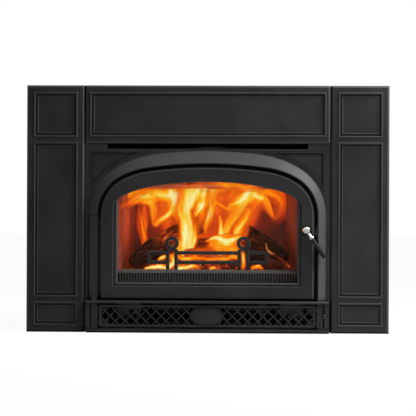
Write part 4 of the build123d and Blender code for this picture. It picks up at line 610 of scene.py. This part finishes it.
# ---------------------------------------------------------------- handle and knob
def build_handle():
    """Domed chrome boss with its stem and collar, and the swelling black grip."""
    joint = JOINTS["handle_turn"]
    low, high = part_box("handle_hub")
    hub = Vector((joint["pos_m"][0], high[1], joint["pos_m"][2]))
    radius, length = hub.x - low[0], high[1] - low[1]
    boss_profile = rounded([(0, 0.0115), (0.0010, radius), (0.013, radius), (0.0185, 0.0085),
                            (length, 0.002)], 6)
    boss = turned("handle_boss", boss_profile, hub, Vector((0, -1, 0)), "handle", MATERIALS["chrome"])
    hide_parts("handle_hub")

    swing = math.radians(joint["range_deg"][1])            # at rest, as photographed, from straight down
    way = Vector((math.sin(swing), 0, -math.cos(swing)))
    stem_start = Vector((hub.x, hub.y - 0.6 * length, hub.z))
    stem_profile = rounded([(0.004, 0.0045), (0.0222, 0.0045), (0.0225, 0.0078), (0.0278, 0.0078),
                            (0.0280, 0.005)], 4)
    stem = turned("handle_stem", stem_profile, stem_start, way, "handle", MATERIALS["chrome"])
    grip_profile = rounded([(0.0281, 0.0044), (0.0284, 0.0052), (0.045, 0.0057), (0.066, 0.0063),
                            (0.0865, 0.0066), (0.0893, 0.0060), (0.0899, 0.001)], 6)
    grip = turned("handle_grip_moulded", grip_profile, stem_start, way, "handle", MATERIALS["handle_black"])
    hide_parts("handle_grip")


def build_knob():
    """Round knob on the air lever."""
    low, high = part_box("air_lever_knob")
    start = Vector(((low[0] + high[0]) / 2, high[1], (low[2] + high[2]) / 2))
    profile = rounded([(0, 0.0046), (0.0012, 0.0058), (0.004, 0.0064), (0.0088, 0.0064),
                       (0.0117, 0.0034), (0.012, 0.0005)], 6)
    knob = turned("air_lever_knob_moulded", profile, start, Vector((0, -1, 0)), "air_lever",
                  MATERIALS["handle_black"])
    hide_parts("air_lever_knob")


# ---------------------------------------------------------------- wood and embers
HOT_SPOTS = [                                  # place, reach, how far alight
    ((-0.060, 0.130, 0.200), 0.075, 1.0),
    ((0.030, 0.110, 0.235), 0.080, 1.0),
    ((-0.105, 0.070, 0.185), 0.060, 1.3),
    ((-0.040, 0.070, 0.185), 0.045, 1.2),
    ((0.020, 0.075, 0.187), 0.030, 1.0),
    ((0.090, 0.080, 0.190), 0.035, 1.1),
    ((0.135, 0.075, 0.183), 0.030, 0.9),
    ((-0.115, 0.180, 0.275), 0.060, 0.8),
    ((-0.060, 0.230, 0.250), 0.090, 0.7),
    ((0.060, 0.240, 0.250), 0.080, 0.6),
]


def near(point, centre, reach):
    """1 at centre, falling to 0 at reach."""
    return max(0.0, 1 - (Vector(point) - Vector(centre)).length / reach)


def heat_at(point):
    """How far a place in the fire is alight."""
    warmth = max(near(point, centre, reach) * power for centre, reach, power in HOT_SPOTS)
    return warmth * 1.4 + 0.2 * noise.noise(Vector(point) * 45)


def paint_glow(obj, rule):
    """Stores how far each point of a piece is alight, from 0 to 1."""
    layer = obj.data.attributes.new("glow", "FLOAT", "POINT")
    layer.data.foreach_set("value", [max(0.0, min(1.0, rule(v.co))) for v in obj.data.vertices])


def bark_size(along, angle, thick, split, seed):
    """A log's half thickness at a point: ridged bark, or the torn flat of its split side."""
    x, y = math.cos(angle), math.sin(angle)
    swell = noise.noise(Vector((along * 22, 1.6 * x, 1.6 * y)) + seed)
    ridge = noise.noise(Vector((along * 26, 9 * x, 9 * y)) + seed)
    plate = noise.noise(Vector((along * 110, 17 * x, 17 * y)) - seed)
    size = thick * (0.93 + 0.07 * swell - 0.09 * abs(ridge) + 0.03 * plate)
    facing = math.cos(angle - math.radians(split))
    if facing > 0.05:
        torn = noise.noise(Vector((along * 12, angle * 26, 1.3)) + seed)
        size = min(size, thick * 0.45 / facing * (1 + 0.09 * torn))
    return size


def saw_end(verts, uvs, faces, base, way, radius, flip):
    """Closes a log at the ring that starts at base, with rough rings that shrink to its middle."""
    centre = sum((verts[base + s] for s in range(LOG_SIDES)), Vector()) / LOG_SIDES
    outer_ring = base
    for share in (0.66, 0.33, 0.02):
        inner_ring = len(verts)
        for s in range(LOG_SIDES):
            p = centre + (verts[base + s] - centre) * share
            verts.append(p + way * 0.0012 * noise.noise(p * 300))
            uvs.append((share * radius, s * 0.004))
        for s in range(LOG_SIDES):
            n = (s + 1) % LOG_SIDES
            quad = (outer_ring + s, inner_ring + s, inner_ring + n, outer_ring + n)
            faces.append(quad if flip else quad[::-1])
        outer_ring = inner_ring


def build_log(name):
    """Split log with a burnt-off lower tip."""
    lower, upper, radius, split, tip = LOGS[name]
    start = Vector(lower)
    way = Vector(upper) - start
    length = way.length
    way.normalize()
    x_dir = way.cross(Vector((0, 0, 1))).normalized()
    y_dir = way.cross(x_dir)
    seed = Vector((len(name) * 3.7, radius * 900, 7.7))
    verts, uvs = [], []
    for r in range(LOG_RINGS):
        along = length * r / (LOG_RINGS - 1)
        from_end = min(along, length - along)
        thick = tip + (radius - tip) * min(1.0, along / (LOG_TAPER * length)) ** 0.7
        for s in range(LOG_SIDES):
            angle = 2 * math.pi * s / LOG_SIDES
            radial = x_dir * math.cos(angle) + y_dir * math.sin(angle)
            size = bark_size(along, angle, thick, split, seed)
            size *= 1 - 0.12 * max(0.0, 1 - from_end / SAWN_EDGE)
            verts.append(start + way * along + radial * min(size, radius))
            uvs.append((angle * radius, along))
    faces = grid_faces(LOG_RINGS, LOG_SIDES, closed=True)
    saw_end(verts, uvs, faces, 0, way, radius, True)
    saw_end(verts, uvs, faces, (LOG_RINGS - 1) * LOG_SIDES, way, radius, False)
    log = add_mesh(name + "_burning", verts, faces, "insert", LOG_MATERIAL)
    lay_uvs(log, "bark", uvs)
    paint_glow(log, heat_at)
    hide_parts(name)


def build_twig():
    """Thin glowing branch that leans on the right-hand log."""
    path = smooth_path(TWIG_ROUTE, 30)
    sides = 8
    verts = []
    for i, point in enumerate(path):
        radius = 0.0022 + 0.0012 * i / len(path)
        for s in range(sides):
            angle = 2 * math.pi * s / sides
            rough = radius * (1 + 0.3 * noise.noise(point * 200 + Vector((s, 0, 0))))
            verts.append(point + Vector((0, math.cos(angle), math.sin(angle))) * rough
                         + Vector((math.sin(angle), 0, 0)) * rough * 0.6)
    twig = add_mesh("twig", verts, grid_faces(len(path), sides, closed=True), "insert", LOG_MATERIAL)
    lay_uvs(twig, "bark", [(0.02 * (i % sides), 0.01 * (i // sides)) for i in range(len(verts))])
    paint_glow(twig, lambda p: 1.5 if p.z > 0.215 else 0.5 + 0.6 * noise.noise(p * 60))


def ember_ground():
    """The ember bed's middle, and half its width and depth."""
    low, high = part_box("ember_bed")
    return (Vector(low) + Vector(high)) / 2, (high[0] - low[0]) / 2, (high[1] - low[1]) / 2


def build_ash_bed():
    """Heap of ash that fills the floor between the bricks."""
    middle, half_x, half_y = ember_ground()
    rows, columns = 44, 72
    verts = []
    for r in range(rows):
        share = r / (rows - 1)
        for c in range(columns):
            angle = 2 * math.pi * c / columns
            x = middle.x + half_x * 0.985 * share * math.cos(angle)
            y = middle.y + half_y * 0.985 * share * math.sin(angle)
            height = ASH_HEIGHT * (1 - share ** 3) + 0.0022 * noise.noise(Vector((x * 60, y * 60, 0)))
            verts.append((x, y, BRICK_FLOOR + max(0.0005, height)))
    bed = add_mesh("ash_bed", verts, grid_faces(rows, columns, closed=True), "insert", EMBER_MATERIAL)
    paint_glow(bed, lambda p: heat_at(p) * 0.6)
    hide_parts("ember_bed")


def build_coals():
    """Loose coals on the ash, each the hull of a few points."""
    random.seed(11)
    middle, half_x, half_y = ember_ground()
    coals = bmesh.new()
    for _ in range(COAL_COUNT):
        angle, share = random.uniform(0, 2 * math.pi), math.sqrt(random.random())
        x = middle.x + half_x * 0.96 * share * math.cos(angle)
        y = middle.y + half_y * 0.95 * share * math.sin(angle)
        size = random.uniform(*COAL_SIZES) * (1.15 if y < FRONT_COALS_Y else 1.0)
        z = BRICK_FLOOR + 0.012 * (1 - share ** 3) + size * 0.35
        roll = random.uniform(0, 6.28)
        axis = Vector((random.random(), random.random(), 1)).normalized()
        turn = Matrix.Rotation(roll, 3, axis)
        corners = []
        for _ in range(COAL_POINTS):
            spot = Vector((random.gauss(0, 1), random.gauss(0, 1), random.gauss(0, 0.7))).normalized()
            flat = Vector((spot.x * 1.3, spot.y, spot.z * 0.75))
            corners.append(coals.verts.new(Vector((x, y, z)) + turn @ flat * size))
        bmesh.ops.convex_hull(coals, input=corners)
        inside = [v for v in corners if v.is_valid and not v.link_faces]
        bmesh.ops.delete(coals, geom=inside, context="VERTS")
    coals.verts.index_update()
    verts = [tuple(v.co) for v in coals.verts]
    faces = [[v.index for v in face.verts] for face in coals.faces]
    coals.free()
    heap = add_mesh("coals", verts, faces, "insert", EMBER_MATERIAL, smooth=False)
    paint_glow(heap, lambda p: heat_at(p) + 0.1)


# ---------------------------------------------------------------- flames
# A sheet: its depth in metres, its grid's step, the heats where it turns from clear to solid, its coolest
# colour, and its strokes. A stroke runs along the flow of a flame through (x, z, half width, heat). Its
# places and widths, like the steps, are in millimetres as seen on the door.
FLAME_SHEETS = {
    "flame_backdrop": (0.315, 3.0, 0.01, 0.13, 0.0, [
        [(-110, 330, 40, 0.44), (-100, 365, 50, 0.54), (-95, 398, 50, 0.58)],
        [(-262, 352, 16, 0.36), (-225, 376, 20, 0.46), (-160, 388, 22, 0.54), (-80, 392, 26, 0.58)],
        [(-4, 300, 34, 0.34), (0, 345, 48, 0.52), (5, 400, 55, 0.60)],
        [(75, 280, 34, 0.44), (95, 335, 46, 0.58), (110, 400, 56, 0.60)],
        [(190, 330, 22, 0.30), (205, 352, 26, 0.38), (190, 395, 30, 0.44)],
        [(-40, 225, 60, 0.36), (30, 235, 60, 0.46), (90, 236, 40, 0.42)],
        [(-200, 320, 24, 0.11), (-204, 250, 26, 0.11)],
        [(140, 300, 36, 0.16), (166, 300, 44, 0.13), (176, 220, 60, 0.11)],
        [(-176, 352, 13, 0.40), (-178, 300, 12, 0.54), (-172, 245, 10, 0.50)],
        [(-132, 240, 30, 0.30), (-112, 300, 34, 0.36)],
        [(-30, 270, 30, 0.34), (-22, 310, 30, 0.42)],
    ]),
    "flame_roll": (0.215, 2.4, 0.16, 0.62, 0.44, [
        [(-30, 368, 27, 0.88), (-75, 380, 25, 0.82), (-120, 380, 22, 0.78), (-160, 380, 20, 0.72),
         (-205, 376, 18, 0.64), (-238, 362, 12, 0.46), (-266, 344, 10, 0.30)],
        [(-215, 352, 8, 0.50), (-196, 367, 10, 0.66), (-168, 368, 12, 0.74), (-150, 352, 12, 0.72),
         (-146, 328, 11, 0.66), (-145, 300, 7, 0.50)],
        [(-96, 388, 10, 0.80), (-92, 362, 12, 0.84), (-104, 336, 13, 0.82), (-124, 316, 11, 0.80),
         (-144, 298, 6, 0.62)],
        [(-186, 340, 5, 0.40), (-180, 305, 6, 0.58), (-176, 270, 6, 0.62), (-172, 244, 4, 0.40)],
        [(-84, 352, 12, 0.66), (-82, 320, 13, 0.52), (-76, 296, 8, 0.36)],
        [(-5, 280, 5, 0.60), (0, 305, 11, 0.80), (8, 330, 15, 0.80), (12, 356, 14, 0.70),
         (4, 392, 18, 0.72)],
        [(22, 362, 4, 0.55), (38, 350, 6, 0.66), (54, 344, 6, 0.62), (70, 346, 4, 0.50)],
        [(36, 262, 10, 0.84), (36, 290, 8, 0.78), (34, 318, 5, 0.60)],
        [(50, 258, 18, 0.86), (60, 288, 17, 0.78), (76, 318, 21, 0.76), (98, 345, 27, 0.80),
         (120, 372, 30, 0.82), (130, 404, 28, 0.72)],
        [(62, 356, 9, 0.66), (86, 366, 12, 0.82), (108, 386, 12, 0.76), (104, 402, 14, 0.66)],
        [(136, 380, 14, 0.74), (158, 368, 14, 0.66), (168, 345, 11, 0.58), (178, 318, 6, 0.46)],
        [(160, 390, 17, 0.56), (190, 376, 16, 0.56), (204, 356, 14, 0.50), (198, 332, 10, 0.42),
         (184, 312, 6, 0.32)],
        [(98, 268, 11, 0.52), (104, 296, 11, 0.46), (116, 322, 12, 0.44)],
        [(-52, 396, 10, 0.66), (-2, 394, 12, 0.66), (50, 396, 12, 0.56)],
    ]),
    "flame_column": (0.165, 2.0, 0.14, 0.62, 0.46, [
        [(-24, 286, 16, 0.34), (-14, 316, 22, 0.46), (-16, 345, 24, 0.50)],
        [(-62, 216, 13, 0.86), (-56, 242, 16, 0.94), (-52, 280, 18, 0.99), (-55, 312, 18, 1.0),
         (-60, 340, 21, 1.0), (-52, 366, 27, 1.0), (-40, 392, 34, 0.96)],
        [(-28, 330, 7, 0.72), (-16, 352, 10, 0.86), (-8, 376, 12, 0.86), (-4, 396, 12, 0.80)],
        [(-84, 215, 8, 0.66), (-76, 228, 9, 0.74), (-72, 248, 6, 0.60)],
        [(78, 256, 13, 0.80), (86, 282, 14, 0.78), (98, 308, 15, 0.70), (108, 336, 15, 0.60)],
        [(-44, 232, 6, 0.70), (-34, 262, 8, 0.72), (-34, 292, 6, 0.52)],
    ]),
    "flame_wood": (0.098, 2.0, 0.12, 0.6, 0.44, [
        [(-6, 251, 3, 0.62), (20, 259, 8, 0.88), (46, 260, 11, 0.97), (72, 262, 9, 0.90),
         (98, 263, 5, 0.64)],
        [(8, 244, 10, 0.64), (44, 242, 14, 0.74), (78, 238, 14, 0.70), (92, 226, 10, 0.60)],
        [(-40, 222, 9, 0.50), (0, 226, 12, 0.46), (50, 226, 12, 0.56), (88, 224, 10, 0.60)],
    ]),
    "flame_bed": (0.050, 2.0, 0.12, 0.6, 0.44, [
        [(-166, 178, 5, 0.86), (-140, 180, 7, 1.0), (-112, 182, 6, 0.98), (-92, 196, 7, 0.96),
         (-98, 214, 5, 0.80)],
        [(-136, 200, 2, 0.70), (-124, 206, 5, 0.98), (-116, 212, 3, 0.86)],
        [(-84, 178, 6, 0.94), (-56, 180, 7, 0.98), (-34, 184, 5, 0.80), (-20, 178, 4, 0.40)],
        [(-80, 208, 5, 0.70), (-56, 206, 6, 0.80), (-20, 206, 6, 0.60), (30, 205, 6, 0.66),
         (80, 207, 6, 0.74)],
        [(10, 178, 4, 0.74), (18, 180, 4, 0.82), (24, 177, 3, 0.5)],
        [(98, 182, 5, 0.60), (100, 200, 6, 0.84), (100, 218, 5, 0.80)],
        [(128, 180, 5, 0.66), (142, 182, 6, 0.74), (152, 176, 4, 0.5)],
    ]),
    "flame_over_tube": (0.066, 2.0, 0.10, 0.75, 0.30, [
        [(-176, 384, 12, 0.50), (-208, 372, 13, 0.50), (-232, 352, 11, 0.42), (-240, 322, 9, 0.28)],
        [(-170, 402, 12, 0.36), (-110, 406, 12, 0.42), (-60, 408, 12, 0.46)],
        [(-52, 406, 10, 0.44), (0, 408, 14, 0.50), (60, 408, 14, 0.52)],
        [(30, 400, 12, 0.46), (50, 410, 14, 0.52), (100, 400, 14, 0.60), (128, 400, 14, 0.60),
         (150, 396, 10, 0.40)],
    ]),
}
FLAME_AREA = (-276, 262, 168, 428)             # left, right, bottom and top of every sheet's grid
BILLOW = (34, 52)                              # width and height of the large waves in a sheet
BILLOW_PUSH = 6.5                              # how far they push its flames aside
FLICKER = (11, 20)                             # the same for the small waves
FLICKER_PUSH = 2.2
SHEET_WAVE = 0.014                             # how far a sheet bends to front and rear, in metres
HOT_SWELL = 0.010                              # how far its hottest flame swells to the front
FAINTEST = 0.012                               # heat above the clear one from which a sheet has a surface


def stroke_heat(x, z, stroke, seed):
    """Heat that a stroke gives at x, z: highest along its spine, with streaks that follow its flow."""
    path = np.array([tuple(p) for p in smooth_path(stroke, 40)])
    start, run = path[:-1], np.diff(path, axis=0)
    length = np.hypot(run[:, 0], run[:, 1])
    dx, dz = x[:, None] - start[:, 0], z[:, None] - start[:, 1]
    share = np.clip((dx * run[:, 0] + dz * run[:, 1]) / length ** 2, 0, 1)
    half = 1.25 * np.maximum(start[:, 2] + share * run[:, 2], 1.0)
    reach = np.hypot(dx - share * run[:, 0], dz - share * run[:, 1]) / half
    rows, nearest = np.arange(len(x)), reach.argmin(axis=1)
    reach, share = reach[rows, nearest], share[rows, nearest]
    side = (dx * run[:, 1] - dz * run[:, 0])[rows, nearest] / (length[nearest] * half[rows, nearest])
    start_along = np.concatenate(([0.0], np.cumsum(length)[:-1]))
    travelled = (start_along[nearest] + share * length[nearest]) / path[:, 2].mean()
    heat = start[nearest, 3] + share * run[nearest, 3]
    streak = streaks(side, travelled, random.Random(seed))
    return heat * np.exp(-0.85 * reach ** 1.9) * (1 + (0.17 + 0.20 * np.minimum(reach, 1.6)) * streak)


def streaks(side, travelled, chance):
    """Waves across a flame, finer and fainter in turn, that sway as it travels."""
    total = 0
    for rate in (2.3, 4.1, 6.6, 10.0):
        sway = 1.3 * np.sin(chance.uniform(0.3, 0.9) * travelled + chance.uniform(0, 6.28))
        lean = chance.uniform(-0.5, 0.5) * travelled + chance.uniform(0, 6.28)
        total = total + np.sin(rate * side + sway + lean) / rate ** 0.35
    return total / 1.7


def waves(x, z, wave, layer):
    """One noise vector for each place, in waves of a width and a height."""
    wide, high = wave
    return np.array([noise.noise_vector(Vector((a / wide, b / high, layer))) for a, b in zip(x, z)])


def build_flame(name, depth, step, clear, solid, coolest, strokes):
    """Billowing sheet of flame at one depth; where it has no heat it has no surface."""
    left, right, bottom, top = FLAME_AREA
    across, up = np.meshgrid(np.arange(left, right, step), np.arange(bottom, top, step))
    rows, columns = across.shape
    x, z = across.ravel(), up.ravel()
    billow = waves(x, z, BILLOW, depth * 90)
    flicker = waves(x, z, FLICKER, depth * 70)
    pushed_x = x + BILLOW_PUSH * billow[:, 0] + FLICKER_PUSH * flicker[:, 0]
    pushed_z = z + BILLOW_PUSH * billow[:, 1] + FLICKER_PUSH * flicker[:, 1]
    heats = [stroke_heat(pushed_x, pushed_z, stroke, seed) for seed, stroke in enumerate(strokes)]
    heat = sum(each ** 3 for each in heats) ** (1 / 3)
    heat = np.clip(heat * (1 + 0.10 * flicker[:, 2]), 0, 1)
    zoom = (depth - EYE.y) / (TARGET.y - EYE.y)    # from the door's plane to the sheet's, seen by the camera
    places = np.column_stack((EYE.x + (x * MM - EYE.x) * zoom,
                              depth + SHEET_WAVE * billow[:, 2] - HOT_SWELL * heat,
                              EYE.z + (z * MM - EYE.z) * zoom))
    lit = heat > clear + FAINTEST
    kept = [face for face in grid_faces(rows, columns) if lit[list(face)].any()]
    used = sorted({corner for face in kept for corner in face})
    place_of = {corner: i for i, corner in enumerate(used)}
    faces = [[place_of[corner] for corner in face] for face in kept]
    mat = flame_material(name, clear, solid, coolest)
    sheet = add_mesh(name, places[used].tolist(), faces, "insert", mat)
    layer = sheet.data.attributes.new("flame_heat", "FLOAT", "POINT")
    layer.data.foreach_set("value", heat[used].tolist())


# ---------------------------------------------------------------- studio
def build_world():
    """White to the camera, in reflections and through glass; a dim grey as light."""
    world = bpy.data.worlds.new("studio")
    world.use_nodes = True
    bpy.context.scene.world = world
    tree = world.node_tree
    path = tree.nodes.new("ShaderNodeLightPath").outputs
    seen = path["Is Camera Ray"]
    for ray in ("Is Glossy Ray", "Is Transmission Ray"):
        either = tree.nodes.new("ShaderNodeMath")
        either.operation = "MAXIMUM"
        tree.links.new(seen, either.inputs[0])
        tree.links.new(path[ray], either.inputs[1])
        seen = either.outputs[0]
    mix = tree.nodes.new("ShaderNodeMix")
    mix.data_type = "RGBA"
    mix.inputs[MIX_A].default_value = (0.16, 0.16, 0.163, 1)
    mix.inputs[MIX_B].default_value = (1, 1, 1, 1)
    tree.links.new(seen, mix.inputs[0])
    tree.links.new(mix.outputs[MIXED], tree.nodes["Background"].inputs["Color"])


def build_floor():
    """Pale floor that the camera sees as nearly plain white."""
    mesh = bpy.data.meshes.new("floor")
    corners = [(x * FLOOR_REACH, y * FLOOR_REACH, 0) for x, y in ((-1, -1), (1, -1), (1, 1), (-1, 1))]
    mesh.from_pydata(corners, [], [(0, 1, 2, 3)])
    floor = bpy.data.objects.new("floor", mesh)
    bpy.context.scene.collection.objects.link(floor)
    m = Recipe("floor").set(Base_Color=(0.8, 0.8, 0.8, 1), Roughness=0.6, Specular_IOR_Level=0.2)
    white = m.node("ShaderNodeEmission")
    blend = m.node("ShaderNodeMixShader")
    by_camera = m.node("ShaderNodeLightPath").outputs["Is Camera Ray"]
    m.feed(blend.inputs[0], m.maths("MULTIPLY", by_camera, FLOOR_WHITE))
    m.feed(blend.inputs[1], m.shader.outputs[0])
    m.feed(blend.inputs[2], white.outputs[0])
    m.feed(m.tree.nodes["Material Output"].inputs["Surface"], blend.outputs[0])
    mesh.materials.append(m.mat)


def add_light(name, kind, place, power):
    """A light of Blender's kind at a place."""
    data = bpy.data.lights.new(name, kind)
    data.energy = power
    light = bpy.data.objects.new(name, data)
    light.location = place
    bpy.context.scene.collection.objects.link(light)
    return light


def build_lights():
    """Key high on the right, nearly in the front's own plane as the bevels show, and the fire's glow."""
    key = add_light("key", "AREA", KEY_PLACE, KEY_POWER)
    key.data.shape = "RECTANGLE"
    key.data.size = KEY_SIZE
    key.data.size_y = KEY_SIZE
    key.rotation_euler = (KEY_TARGET - KEY_PLACE).to_track_quat("-Z", "Y").to_euler()
    for name, (place, power, radius) in FIRE_LIGHTS.items():
        glow = add_light(name, "POINT", place, power)
        glow.data.shadow_soft_size = radius
        glow.data.color = FIRE_COLOUR


def build_camera():
    """Long lens, a little right of the middle."""
    data = bpy.data.cameras.new("camera")
    camera = bpy.data.objects.new("camera", data)
    bpy.context.scene.collection.objects.link(camera)
    look = TARGET - EYE
    data.sensor_width = 36.0
    data.lens = data.sensor_width * look.length / VIEW_WIDTH
    data.clip_end = 50.0
    turn = look.to_track_quat("-Z", "Y").to_matrix().to_4x4() @ Matrix.Rotation(CAMERA_ROLL, 4, "Z")
    camera.matrix_world = Matrix.Translation(EYE) @ turn
    bpy.context.scene.camera = camera


def main():
    dress_frame()
    build_strips()
    build_handle()
    build_knob()
    for name in LOGS:
        build_log(name)
    build_ash_bed()
    build_coals()
    build_twig()
    for name, settings in FLAME_SHEETS.items():
        build_flame(name, *settings)
    build_world()
    build_floor()
    build_lights()
    build_camera()
    bpy.context.scene.view_settings.view_transform = "Standard"


main()
